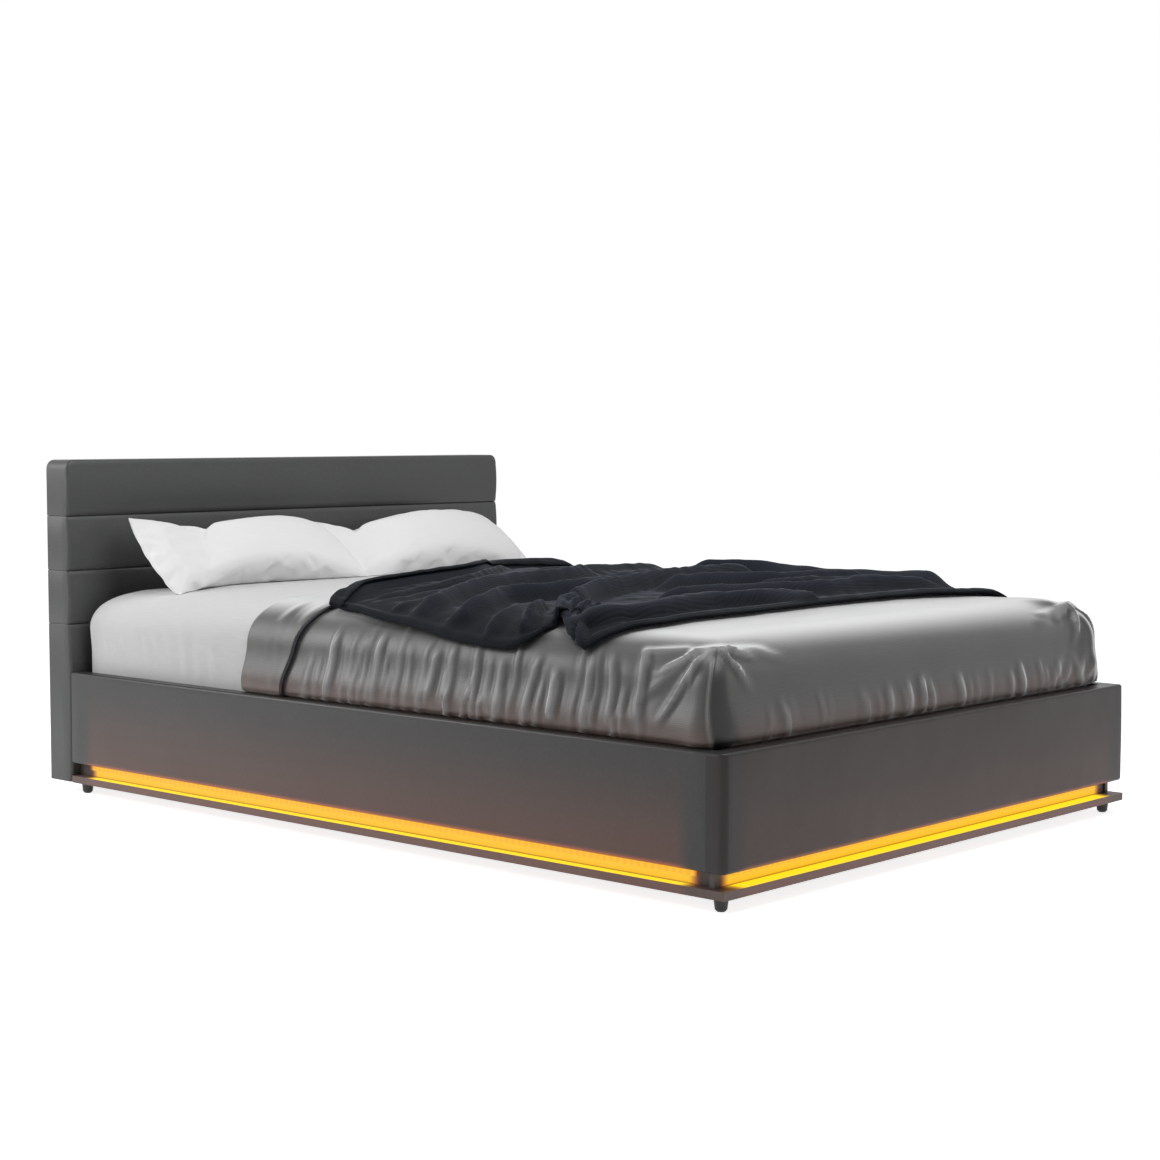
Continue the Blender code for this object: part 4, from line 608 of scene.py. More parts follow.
footRail = {"edge": 0.007, "sink": 0.006, "crown": 0.0005, "endRadius": 0.014, "corner": 0.0, "rim": 0.006,
            "wrap": 0.002, "overlap": 0.002, "lip": 0.040}
low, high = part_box("foot_rail_cover")
footPad = makePad("foot_rail_leather", (low, high), footRail, 21.7, materials["leatherFootShaded"])
woodLow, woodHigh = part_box("foot_rail_board")
inside = high.y - footRail["wrap"]
cutPocket(footPad, (woodLow.x - pads["fit"], woodLow.y - pads["fit"], low.z - pads["open"]),
          (woodHigh.x + pads["fit"], inside, woodHigh.z + pads["fit"]))
# below its lip, the leather leaves the board's inner face bare
cutPocket(footPad, (woodLow.x - pads["fit"], inside - footRail["overlap"], low.z - pads["open"]),
          (woodHigh.x + pads["fit"], high.y + pads["open"], high.z - footRail["lip"]))
settle(footPad, "base", "grey_leather", "foot_rail_cover")
print("headboard and foot rail made")


# Side rails: leather folded over the board's top, padded on its outer face

sideRail = {"pad": 0.008, "wrap": 0.002, "lip": 0.040, "edge": 0.006, "wave": 0.0007, "step": 0.014,
            "tuck": 0.0012, "tuckReach": 0.004, "face": 0.004}


def railSection(low, high, outer, inner):
    # Section in (x, z) for the side with positive x; outer face first
    r, wood = sideRail["edge"], outer - sideRail["pad"]
    points = [(wood, low), (wood + 0.001, low)]
    for step in range(7):
        angle = -math.pi / 2 + math.pi / 2 * step / 6
        points.append(roundBend((outer - r, low + r), r, angle)[0])
    rows = 20
    for step in range(1, rows):
        points.append((outer, low + r + (high - low - 2 * r) * step / rows))
    for step in range(7):
        points.append(roundBend((outer - r, high - r), r, math.pi / 2 * step / 6)[0])
    for step in range(1, 6):
        points.append((outer - r + (inner + 0.002 - outer + r) * step / 5, high))
    points += [(inner + 0.0006, high - 0.0006), (inner, high - 0.002), (inner, high - 0.02),
               (inner, high - sideRail["lip"]), (inner + sideRail["wrap"], high - sideRail["lip"]),
               (inner + sideRail["wrap"], high - sideRail["wrap"]), (wood, high - sideRail["wrap"])]
    return points


for name, side in (("left", -1), ("right", 1)):
    low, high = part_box(f"side_rail_cover_{name}")
    section = railSection(low.z, high.z, cadHigh.x, min(abs(low.x), abs(high.x)))
    rows = round((high.y - low.y) / sideRail["step"])
    points = []
    for i in range(rows + 1):
        y = low.y + (high.y - low.y) * i / rows
        end = min(i, rows - i) * (high.y - low.y) / rows
        tuck = sideRail["tuck"] * math.exp(-end / sideRail["tuckReach"])
        for x, z in section:
            face = 1.0 if x > cadHigh.x - sideRail["face"] else 0.0
            slow = sideRail["wave"] * (wave((y / 0.20, z / 0.09), 5.5 + side) - 0.4)
            points.append((side * (x + face * (slow - tuck)), y, z))
    faces = loopFaces(rows + 1, len(section))
    piece = makePiece(f"side_rail_leather_{name}", points, faces, materials["leatherSideShaded"], merge=0.00002)
    piece.data.set_sharp_from_angle(angle=pads["sharp"])
    settle(piece, "base", "grey_leather", f"side_rail_cover_{name}")
print("side rails made")


# The mattress and the cloths over it share one surface

bed = {
    "half": mattressHigh.x, "head": mattressHigh.y, "foot": mattressLow.y,
    "bottom": mattressLow.z, "top": mattressLow.z + 0.2424, "edgeRun": 0.130, "edgeRise": 0.085,
    "corner": 0.035, "headCorner": 0.014, "crown": 0.015, "headRun": 0.500,
}
bed["flat"] = bed["half"] - bed["edgeRun"]


def ringStart(length):
    # Plan place and outward direction, length metres round the outline from the head end's left
    # corner, down the left side, round the foot and up the right side
    r, halfWidth = bed["corner"], bed["half"]
    straight = bed["head"] - bed["foot"] - r
    across = 2 * (halfWidth - r)
    bend = r * math.pi / 2
    if length <= straight:
        return (-halfWidth, bed["head"] - length), (-1.0, 0.0)
    length -= straight
    if length < bend:
        return roundBend((-halfWidth + r, bed["foot"] + r), r, math.pi + length / r)
    length -= bend
    if length <= across:
        return (-halfWidth + r + length, bed["foot"]), (0.0, -1.0)
    length -= across
    if length < bend:
        return roundBend((halfWidth - r, bed["foot"] + r), r, 1.5 * math.pi + length / r)
    length -= bend
    return (halfWidth, bed["foot"] + r + length), (1.0, 0.0)


ringLength = 2 * (bed["head"] - bed["foot"] - bed["corner"]) + 2 * (bed["half"] - bed["corner"]) \
    + math.pi * bed["corner"]
sideTall = bed["top"] - bed["edgeRise"] - bed["bottom"]
edgeLength = math.hypot(bed["edgeRun"], bed["edgeRise"]) / math.sqrt(2) * math.pi / 2


def overSurface(place, way, run):
    # Point and outward direction on the mattress, run metres up from its bottom edge
    x, y = place
    if run <= sideTall:
        return (x, y, bed["bottom"] + run), (way[0], way[1], 0.0)
    spineY = min(max(y, bed["foot"] + bed["half"]), bed["head"] - bed["headRun"])
    if run <= sideTall + edgeLength:
        angle = (run - sideTall) / edgeLength * math.pi / 2
        part = bed["edgeRun"] * (1 - math.cos(angle)) / bed["half"]
        height = bed["top"] - bed["edgeRise"] * (1 - math.sin(angle))
        level, rise = math.cos(angle) / bed["edgeRun"], math.sin(angle) / bed["edgeRise"]
        size = math.hypot(level, rise)
        outward = (way[0] * level / size, way[1] * level / size, rise / size)
        return (x * (1 - part), y + (spineY - y) * part, height), outward
    share = min(1.0, (run - sideTall - edgeLength) / bed["flat"])
    part = (bed["edgeRun"] + bed["flat"] * share) / bed["half"]
    height = bed["top"] + bed["crown"] * (1 - (1 - share) ** 2)
    return (x * (1 - part), y + (spineY - y) * part, height), (0.0, 0.0, 1.0)


def lifted(place, way, run, lift):
    # The point lift metres off the mattress
    point, outward = overSurface(place, way, run)
    return tuple(p + o * lift for p, o in zip(point, outward))


def topHeight(x, y):
    # Height of the bare mattress at a place
    fromHead = (bed["head"] - y) / bed["headRun"] * bed["half"]
    inset = min(bed["half"], bed["half"] - abs(x), y - bed["foot"], fromHead)
    share = max(0, (inset - bed["edgeRun"]) / bed["flat"])
    lean = min(1, max(0, 1 - inset / bed["edgeRun"]))
    drop = bed["edgeRise"] * (1 - math.sqrt(1 - lean * lean))
    return bed["top"] + bed["crown"] * (1 - (1 - share) ** 2) - drop


def creaseField(places, strokes):
    # Height of soft ridges over flat places (n, 2); a stroke is start, middle, end, width and height
    lines = []
    for start, middle, end, width, height in strokes:
        start, middle, end = (np.array(p, float) for p in (start, middle, end))
        curve = [(1 - t) ** 2 * start + 2 * t * (1 - t) * middle + t * t * end for t in np.linspace(0, 1, 9)]
        lines.append((curve, width, height, 0.30, 0.3, 2))
    return ridgeField(places, lines)


def ridgeField(places, lines, stacked=True):
    # The same along lines of points, each with its width, height, side hollows, the share that
    # fades at its ends and a power that is higher for steeper sides. Where they meet, ridges add
    # up, or the higher one shows if they aren't stacked
    total, low = np.zeros(len(places)), np.zeros(len(places))
    for curve, width, height, hollows, fading, power in lines:
        start = np.min(curve, axis=0) - 4 * width
        end = np.max(curve, axis=0) + 4 * width
        near = np.nonzero(((places > start) & (places < end)).all(1))[0]
        if not len(near):
            continue
        here = places[near]
        best = np.full(len(near), 1e9)
        along = np.zeros(len(near))
        steps = len(curve) - 1
        for index, (a, b) in enumerate(zip(curve, curve[1:])):
            line = b - a
            share = np.clip(((here - a) @ line) / max(line @ line, 1e-12), 0, 1)
            away = np.linalg.norm(here - a - share[:, None] * line, axis=1)
            closer = away < best
            best = np.where(closer, away, best)
            along = np.where(closer, (index + share) / steps, along)
        fade = np.clip(along / fading, 0, 1) * np.clip((1 - along) / fading, 0, 1)
        fade = fade * fade * (3 - 2 * fade)
        far = best / width
        ridge = height * fade * np.exp(-far ** power)
        low[near] += height * fade * hollows * np.exp(-(far / 2.1) ** 2)
        total[near] = total[near] + ridge if stacked else np.maximum(total[near], ridge)
    return total - low


def clothRuns(low, sideStep, edgeSteps, topStep):
    # Distances up the side, round the edge and in to the middle
    runs = list(np.linspace(low, sideTall, max(2, round((sideTall - low) / sideStep)) + 1))
    runs += [sideTall + edgeLength * (i + 1) / edgeSteps for i in range(edgeSteps)]
    steps = round(bed["flat"] / topStep)
    for i in range(1, steps + 1):
        share = i / steps
        runs.append(sideTall + edgeLength + bed["flat"] * (0.6 * share + 0.4 * share * share))
    return runs


def closedRing(spacing):
    # The whole outline as a list of (place, direction, distance), the head end included
    ring = []
    r = bed["headCorner"]
    right, headY = bed["half"] - r, bed["head"] - r
    count = round(ringLength / spacing)
    for i in range(count + 1):
        length = r + (ringLength - 2 * r) * i / count
        place, way = ringStart(length)
        ring.append((place, way, length))
    distance = ring[-1][2]
    for i in range(1, 7):
        angle = math.pi / 2 * i / 6
        ring.append((*roundBend((right, headY), r, angle), distance + r * angle))
    distance += r * math.pi / 2
    steps = round(2 * right / spacing)
    for i in range(1, steps):
        gone = 2 * right * i / steps
        ring.append(((right - gone, bed["head"]), (0.0, 1.0), distance + gone))
    distance += 2 * right
    for i in range(0, 6):
        turned = math.pi / 2 * i / 6
        ring.append((*roundBend((-right, headY), r, math.pi / 2 + turned), distance + r * turned))
    return ring


def clothRows(ring, runs, out, shift):
    # Rows of points up the mattress, out metres above it and further by shift(grid), and their map
    uv = [(length, run) for place, way, length in ring for run in runs]
    lifts = (out + shift(np.array(uv))).reshape(len(ring), len(runs))
    rows = [[lifted(place, way, run, lift) for run, lift in zip(runs, row)]
            for (place, way, length), row in zip(ring, lifts)]
    return rows, uv


def outwardFaces(piece):
    # On an open cloth the faces are turned to look up from the bed's middle
    centre = Vector((0, (bed["head"] + bed["foot"]) / 2, bed["bottom"] - 0.5))
    turn = 0
    for face in piece.data.polygons:
        turn += 1 if face.normal.dot(face.center - centre) > 0 else -1
    if turn < 0:
        piece.data.flip_normals()


# Mattress: foam in knitted ticking, its lowest rows closer together

ring = closedRing(0.030)
runs = [0.0, 0.006, 0.02, 0.05, 0.08, 0.11, 0.14, sideTall] \
    + [sideTall + edgeLength * i / 6 for i in range(1, 7)] \
    + [sideTall + edgeLength + bed["flat"] * i / 14 for i in range(1, 15)]
points, uv = [], []
for place, way, length in ring:
    for run in runs:
        points.append(overSurface(place, way, run)[0])
        uv.append((length, run))
faces = gridFaces(len(ring), len(runs), True)
faces.append(tuple(i * len(runs) for i in range(len(ring))))
mattress = makePiece("mattress_ticking", points, faces, materials["ticking"], uv, merge=0.0002)
mattress.data.set_sharp_from_angle(angle=math.radians(50))
settle(mattress, "platform", "mattress_foam", "mattress")
print("mattress made")


# Fitted sheet: cotton percale pulled over the mattress, with slack creases at the head end

sheet = {
    "out": 0.0006, "thick": 0.0012, "hem": 0.004, "seed": 11,
    "corner": 0.008, "cornerWidth": 0.035,      # the gathered corners at the head end
    "railHeight": 0.06, "railRoom": 0.0055,     # how far the sheet may stand out beside the rails
    "most": 0.0004,                             # how far it may be drawn in
    # pulls near the head: where each starts and ends, how it bends, its width and height
    "pulls": ((0.130, 0.060, 0.02, 0.010, 0.0022), (0.165, 0.090, 0.03, 0.012, 0.0030),
              (0.215, 0.120, 0.02, 0.011, 0.0034), (0.262, 0.150, 0.03, 0.013, 0.0042),
              (0.292, 0.205, 0.02, 0.009, 0.0040), (0.312, 0.252, 0.01, 0.010, 0.0034),
              (0.335, 0.300, 0.00, 0.012, 0.0026), (0.372, 0.360, 0.00, 0.014, 0.0026),
              (0.420, 0.415, -0.01, 0.012, 0.0022), (0.470, 0.462, -0.01, 0.012, 0.0020)),
}


def strokeAlong(mirrored, places, width, height):
    # A stroke through three places (length round the bed, height), or its mirror image
    return [(ringLength - l if mirrored else l, h) for l, h in places] + [width, height]


def sheetCreases():
    # Slanting pulls on the long sides near the head, and small ones all round the head end
    draw = np.random.default_rng(sheet["seed"])
    strokes = []
    for mirrored in (False, True):
        for base, top, bend, width, height in sheet["pulls"]:
            places = ((base, 0.03), ((base + top) / 2 - bend, 0.10), (top, 0.185))
            strokes.append(strokeAlong(mirrored, places, width, height))
        for i in range(26):
            l = 0.04 + 0.52 * draw.random()
            lean = 0.02 + 0.05 * draw.random()
            h = 0.03 + 0.10 * draw.random()
            places = ((l + lean, h), (l + lean / 2, h + 0.03), (l, h + 0.07))
            strokes.append(strokeAlong(mirrored, places, 0.005 + 0.006 * draw.random(),
                                       0.0008 + 0.0010 * draw.random()))
    around = ringLength + 2 * bed["half"]
    for i in range(60):
        l = ringLength + (around - ringLength) * draw.random() * 0.98
        strokes.append(((l, 0.0), (l + 0.01, 0.06), (l - 0.02, 0.14), 0.010, 0.0012))
    return strokes


def sheetShift(grid):
    # How far the sheet stands out at each (length, height)
    high = creaseField(grid, sheetCreases())
    lengths, heights = grid.T
    # the gathered corners at the head end stand out a little
    fromCorner = np.minimum(abs(lengths), abs(lengths - ringLength))
    tall = np.clip((heights - 0.07) / 0.08, 0, 1)
    tall = tall * np.clip((sideTall + edgeLength * 0.8 - heights) / 0.08, 0, 1)
    high += sheet["corner"] * np.exp(-(fromCorner / sheet["cornerWidth"]) ** 2) * tall
    room = sheet["railRoom"] - sheet["out"] - sheet["thick"]
    limit = np.where(heights < sheet["railHeight"], room, np.inf)
    return np.clip(high, -sheet["most"], limit)


ring = closedRing(0.011)
runs = clothRuns(sheet["hem"], 0.010, 16, 0.024)
rows, uv = clothRows(ring, runs, sheet["out"], sheetShift)
points = [point for row in rows for point in row]
faces = gridFaces(len(ring), len(runs), True)
fitted = makePiece("fitted_sheet_cotton", points, faces, materials["cotton"], uv, merge=0.0002)
outwardFaces(fitted)
addModifier(fitted, "SOLIDIFY", {"thickness": sheet["thick"], "offset": 1.0, "use_even_offset": True})
settle(fitted, "platform", "white_cotton", "fitted_sheet")
print("fitted sheet made")


# Coverlet: ribbed sateen with a turned-back cuff, pressed creases down its sides and mitred corners

cover = {
    "out": 0.0024, "thick": 0.0030, "hem": 0.008, "headGap": 0.600, "cuffTop": 0.190, "cuffBottom": 0.125,
    "foldRadius": 0.0024, "seed": 23, "creaseSpacing": 0.029, "pleat": 0.0125, "cornerStand": (0.002, 0.014),
    "overRail": 0.020, "railFoot": 0.0045, "railSide": 0.0014, "aboveRail": 0.028, "drawnIn": 0.0012,
    "innerLength": 0.19,                        # of the turned-back part, on the cloth's map
    # pulls from the top of the mitre: how far each goes along and up, its width and height
    "fan": ((-0.15, -0.075, 0.008, 0.0110), (-0.125, -0.175, 0.007, 0.0120),
            (-0.19, -0.020, 0.010, 0.0070), (-0.06, -0.095, 0.006, 0.0070),
            (-0.18, -0.130, 0.010, 0.0060), (0.070, -0.070, 0.0065, 0.0095),
            (0.125, -0.035, 0.008, 0.0080), (0.170, -0.012, 0.010, 0.0060),
            (0.095, -0.110, 0.010, 0.0050), (0.22, -0.040, 0.012, 0.0040)),
}
sideLength = bed["head"] - bed["foot"] - bed["corner"]
bendLength = bed["corner"] * math.pi / 2
cornerAt = sideLength + bendLength * 0.70
mitreTop = sideTall + edgeLength * 0.50


def coverCreases():
    # Pressed creases down the sides, pulls at the mitres, creases at the foot and on the top's edge
    draw = np.random.default_rng(cover["seed"])
    strokes = []
    for mirrored in (False, True):
        l = cover["headGap"] + 0.20
        while l < sideLength - 0.13:
            share = (l - cover["headGap"]) / (sideLength - cover["headGap"])
            strong = 0.0030 + 0.0085 * min(1, share * 1.7) * (0.35 + 0.75 * draw.random())
            lean = -0.012 + 0.044 * draw.random()
            start = 0.02 + 0.06 * draw.random() ** 2
            end = 0.150 + 0.115 * draw.random()
            bow = 0.022 * (draw.random() - 0.5)
            places = ((l, start), (l + bow, (start + end) / 2), (l + lean, end))
            strokes.append(strokeAlong(mirrored, places, 0.0045 + 0.0075 * draw.random(), strong))
            if draw.random() < 0.5:
                low = 0.035 + 0.03 * draw.random()
                places = ((l + 0.014, low), (l + 0.017, low + 0.03), (l + 0.012, low + 0.07))
                strokes.append(strokeAlong(mirrored, places, 0.0055, strong * 0.8))
            l += cover["creaseSpacing"] * (0.35 + 1.2 * draw.random())
        # pulls fanning out from the top of the mitre, and one over it
        l, h = cornerAt - 0.004, mitreTop
        for far, up, width, height in cover["fan"]:
            places = ((l + far * 0.04, h + up * 0.04 + 0.006), (l + far * 0.5, h + up * 0.36),
                      (l + far, h + up))
            strokes.append(strokeAlong(mirrored, places, width, height))
        places = ((l - 0.055, h - 0.030), (l + 0.004, h + 0.036), (l + 0.080, h - 0.034))
        strokes.append(strokeAlong(mirrored, places, 0.009, 0.0100))
    start = sideLength + bendLength
    across = 2 * (bed["half"] - bed["corner"])
    for i in range(34):
        l = start + 0.05 + (across - 0.1) * draw.random()
        low = 0.030 + 0.02 * draw.random()
        strokes.append(((l, low), (l + 0.01 * draw.random(), low + 0.04),
                        (l + 0.03 * (draw.random() - 0.3), low + 0.09),
                        0.006 + 0.006 * draw.random(), 0.0020 + 0.0035 * draw.random()))
    for back in (0.22, 0.17, 0.12, 0.07):
        l = start + across - back
        strokes.append(((l, 0.045), (l + 0.05, 0.075), (l + 0.11, 0.135), 0.009, 0.0032))
    for i in range(26):
        l = start + across * draw.random()
        h = sideTall + edgeLength + 0.02 + 0.25 * draw.random()
        strokes.append(((l, h), (l + 0.06, h + 0.01), (l + 0.13, h + 0.03 * (draw.random() - 0.5)),
                        0.014, 0.0010))
    return strokes


def pleatEdge(run):
    # The mitre's folded edge bows towards the side panel between its top and its foot
    share = np.clip((mitreTop - run) / mitreTop, 0, 1)
    return cornerAt - 0.015 * np.sin(math.pi * share ** 0.8) - 0.006 * share


def coverShift(grid):
    # How far the coverlet stands out at each (length, height)
    lengths, heights = grid.T
    high = creaseField(grid, coverCreases())
    # the side panel's edge stands over the foot panel at each mitre
    for mirrored in (False, True):
        l = ringLength - lengths if mirrored else lengths
        tall = np.clip((mitreTop + 0.01 - heights) / 0.05, 0, 1)
        edge = pleatEdge(heights)
        lap = 1 / (1 + np.exp(np.clip((l - edge) / 0.0011, -40, 40)))
        rise = np.clip((l - (edge - 0.09)) / 0.09, 0, 1) ** 2
        high += tall * lap * rise * cover["pleat"]
        hollow = np.exp(-((l - edge - 0.030) / 0.028) ** 2) * (1 - lap)
        high -= 0.0020 * tall * hollow
        stand = np.exp(-((l - cornerAt) / 0.050) ** 2) * np.clip((heights - 0.055) / 0.09, 0, 1)
        stand = stand * np.clip((sideTall + edgeLength - heights) / 0.09, 0, 1)
        high += cover["cornerStand"][1 if mirrored else 0] * stand
    # the bedding bulges over the rails
    aboveRail = heights - railHigh.z + bed["bottom"]
    high += cover["overRail"] * np.clip(aboveRail / 0.004, 0, 1) * np.exp(-((heights - 0.075) / 0.05) ** 2)
    # room left beside the rails, inside the bed's frame
    footStart = sideLength + bendLength * 0.6
    isFoot = (lengths > footStart) & (lengths < ringLength - footStart)
    limit = np.where(isFoot, cover["railFoot"], cover["railSide"])
    limit = limit + np.clip((aboveRail + 0.001) / 0.006, 0, 1) * cover["aboveRail"]
    return np.clip(high, -cover["drawnIn"], limit)


def coverFoldShade(grid):
    # Painted shade and highlight for the folds: ridges above 0 and hollows below it, with the pleat's inside
    # painted darkest
    lengths, heights = grid.T
    depth = np.clip(creaseField(grid, coverCreases()) / 0.006, -0.55, 1) * 0.8
    for mirrored in (False, True):
        l = ringLength - lengths if mirrored else lengths
        tall = np.clip((mitreTop + 0.004 - heights) / 0.03, 0, 1)
        width = 0.008 + 0.024 * np.clip((mitreTop - heights) / mitreTop, 0, 1)
        past = l - pleatEdge(heights)
        inside = np.clip(past / 0.0015, 0, 1) * np.clip(1 - (past - width) / 0.030, 0, 1)
        depth -= 1.3 * tall * inside
        # a painted highlight along the pleat's folded edge
        depth += 0.8 * tall * np.exp(-((past + 0.002) / 0.0018) ** 2)
    return np.clip(depth, -1, 1)


# The outline from the cuff's fold down the left side, round the foot and back up the right side,
# with its places closest together at the mitres
left = [cover["headGap"] + (sideLength - cover["headGap"] - 0.03) * i / 140 for i in range(1, 141)]
corner = list(np.linspace(sideLength - 0.03, sideLength + bendLength + 0.03, 70))[1:]
across = 2 * (bed["half"] - bed["corner"])
foot = list(np.linspace(sideLength + bendLength + 0.03, sideLength + bendLength + across - 0.03, 130))[1:]
lengths = left + corner + foot
mirrored = [ringLength - l for l in reversed(left + corner)]
lengths = [cover["headGap"]] + lengths + mirrored[1:] + [ringLength - cover["headGap"]]
ring = [(*ringStart(length), length) for length in lengths]
runs = clothRuns(cover["hem"], 0.008, 22, 0.022)


def cuffEdge(run):
    # The turned-back edge runs closer to the fold at the bottom of the sides
    share = min(1, max(0, run / (sideTall + edgeLength)))
    eased = share * share * (3 - 2 * share)
    return cover["cuffBottom"] + (cover["cuffTop"] - cover["cuffBottom"]) * eased


def makeCoverlet():
    body, uv = clothRows(ring, runs, cover["out"], coverShift)
    # the cuff: round a small roll at the head edge and back towards the foot, on both sides
    foldY = bed["head"] - cover["headGap"]
    radius = cover["foldRadius"]
    middle = cover["out"] + cover["thick"] * 0.5 + radius
    spots = np.array([[cover["headGap"], run] for run in runs])
    foldLift = np.maximum(coverShift(spots), 0)
    cuffs = []
    for side in (0, 1):
        rows, places = [], []
        way = (-1.0, 0.0) if side == 0 else (1.0, 0.0)
        x = way[0] * bed["half"]
        for step in range(1, 6):
            angle = -math.pi / 2 + math.pi * step / 5
            y, lift = foldY + radius * math.cos(angle), middle + radius * math.sin(angle)
            rows.append([lifted((x, y), way, run, lift + below) for run, below in zip(runs, foldLift)])
            places.append(radius * (angle + math.pi / 2))
        for step in range(1, 23):
            share = step / 22
            row = []
            spots = np.array([[cover["headGap"] + cuffEdge(run) * share, run] for run in runs])
            under = np.maximum(coverShift(spots), 0)
            for run, below in zip(runs, under):
                y = foldY - cuffEdge(run) * share
                free = np.clip((run - railHigh.z + bed["bottom"] - 0.004) / 0.02, 0, 1)
                billow = 0.0034 * max(0, wave((y / 0.030, run / 0.16), 9.1 + side)) + 0.0010 * share
                row.append(lifted((x, y), way, run, middle + radius + below + billow * free))
            rows.append(row)
            places.append(radius * math.pi + cover["innerLength"] * share)
        cuffs.append((rows, places))
    allRows = list(reversed(cuffs[0][0])) + body + cuffs[1][0]
    first = [(cover["headGap"] - place, run) for place in reversed(cuffs[0][1]) for run in runs]
    last = [(ringLength - cover["headGap"] + place, run) for place in cuffs[1][1] for run in runs]
    points = [p for row in allRows for p in row]
    faces = gridFaces(len(allRows), len(runs))
    piece = makePiece("coverlet_sateen", points, faces, materials["sateen"], first + uv + last)
    depth = np.zeros(len(points))
    depth[len(first):len(first) + len(uv)] = coverFoldShade(np.array(uv))
    markFolds(piece, depth)
    bm = bmesh.new()
    bm.from_mesh(piece.data)
    bm.verts.ensure_lookup_table()
    # only the two halves' meeting line is merged, so that the cuff stays free of the layer under it
    count = len(runs)
    meeting = [bm.verts[i * count + count - 1] for i in range(len(allRows))]
    bmesh.ops.remove_doubles(bm, verts=meeting, dist=0.0004)
    bmesh.ops.dissolve_degenerate(bm, edges=bm.edges, dist=0.00005)
    bm.to_mesh(piece.data)
    bm.free()
    return piece, (allRows[0], allRows[-1])


coverlet, cuffLines = makeCoverlet()
outwardFaces(coverlet)
addModifier(coverlet, "SOLIDIFY", {"thickness": cover["thick"] * 0.5, "offset": 0.0})


def makeTube(name, lines, radius, sides, material):
    # Round tubes along open lines of points, with closed ends
    points, faces, uv = [], [], []
    for line in lines:
        start = len(points)
        line = [Vector(p) for p in line]
        gone = 0.0
        for i, p in enumerate(line):
            ahead = (line[min(i + 1, len(line) - 1)] - line[max(i - 1, 0)]).normalized()
            up = Vector((0, 0.3, 1)) if abs(ahead.z) < 0.9 else Vector((0, 1, 0))
            across = ahead.cross(up).normalized()
            up = across.cross(ahead).normalized()
            gone += (p - line[i - 1]).length if i else 0
            for j in range(sides):
                angle = math.tau * j / sides
                points.append(p + (across * math.cos(angle) + up * math.sin(angle)) * radius)
                uv.append((gone, radius * angle))
        for i in range(len(line) - 1):
            for j in range(sides):
                after = (j + 1) % sides
                faces.append((start + i * sides + j, start + i * sides + after,
                              start + (i + 1) * sides + after, start + (i + 1) * sides + j))
        faces.append(tuple(start + j for j in reversed(range(sides))))
        faces.append(tuple(start + (len(line) - 1) * sides + j for j in range(sides)))
    return makePiece(name, points, faces, material, uv)


# Two cords side by side along the cuff's free edge, over the bed from hem to hem
piped = {"radius": 0.0021, "sides": 8, "places": (0.0012, -0.0034)}
whole = cuffLines[0] + cuffLines[1][-2::-1]
cords = [[Vector(p) + Vector((0, shift, 0.0)) for p in whole] for shift in piped["places"]]
piping = makeTube("cuff_piping", cords, piped["radius"], piped["sides"], materials["piping"])
settle(coverlet, "platform", "grey_sateen", "coverlet")
settle(piping, "platform", "grey_sateen")
print("coverlet made")


# Throw blanket: ribbed knit laid across the bed, in long soft folds

throwCloth = {
    "thick": 0.0065, "lift": 0.0036, "hemRoll": 0.0085, "hemWidth": 0.013, "ripple": 0.0035, "crimp": 0.0024,
    "rollHeight": 0.020, "rollWidth": 0.026, "rollGap": 0.034, "cuffLift": 0.009,
    # the head hem's turned layer: its rows, gap, free edge and how loosely it lies
    "turnedRows": 9, "turnedGap": 0.001, "turnedLip": 0.003, "turnedLoose": 0.0016, "turnedThick": 0.8,
    "foldWidth": 0.86, "foldHeight": 1.1,       # applied to every fold below
    "cut": (1.50, 1.10),
    # edges as places (x, y) on the bed, the near side first
    "headEdge": ((-0.626, 0.120), (-0.577, 0.158), (-0.490, 0.200), (-0.314, 0.237), (-0.090, 0.297),
                 (0.060, 0.390), (0.176, 0.472), (0.298, 0.521), (0.470, 0.575), (0.655, 0.630)),
    "footEdge": ((-0.673, -0.655), (-0.645, -0.682), (-0.606, -0.712), (-0.553, -0.740), (-0.405, -0.742),
                 (-0.240, -0.738), (-0.035, -0.723), (0.150, -0.724), (0.330, -0.738), (0.466, -0.768),
                 (0.655, -0.780)),
    "nearEdge": ((-0.626, 0.120), (-0.632, 0.047), (-0.648, -0.045), (-0.661, -0.178), (-0.675, -0.302),
                 (-0.680, -0.430), (-0.674, -0.485), (-0.650, -0.512), (-0.600, -0.508), (-0.612, -0.544),
                 (-0.650, -0.596), (-0.673, -0.655)),
    "farEdge": ((0.655, 0.630), (0.668, 0.300), (0.672, 0.000), (0.672, -0.400), (0.655, -0.780)),
}
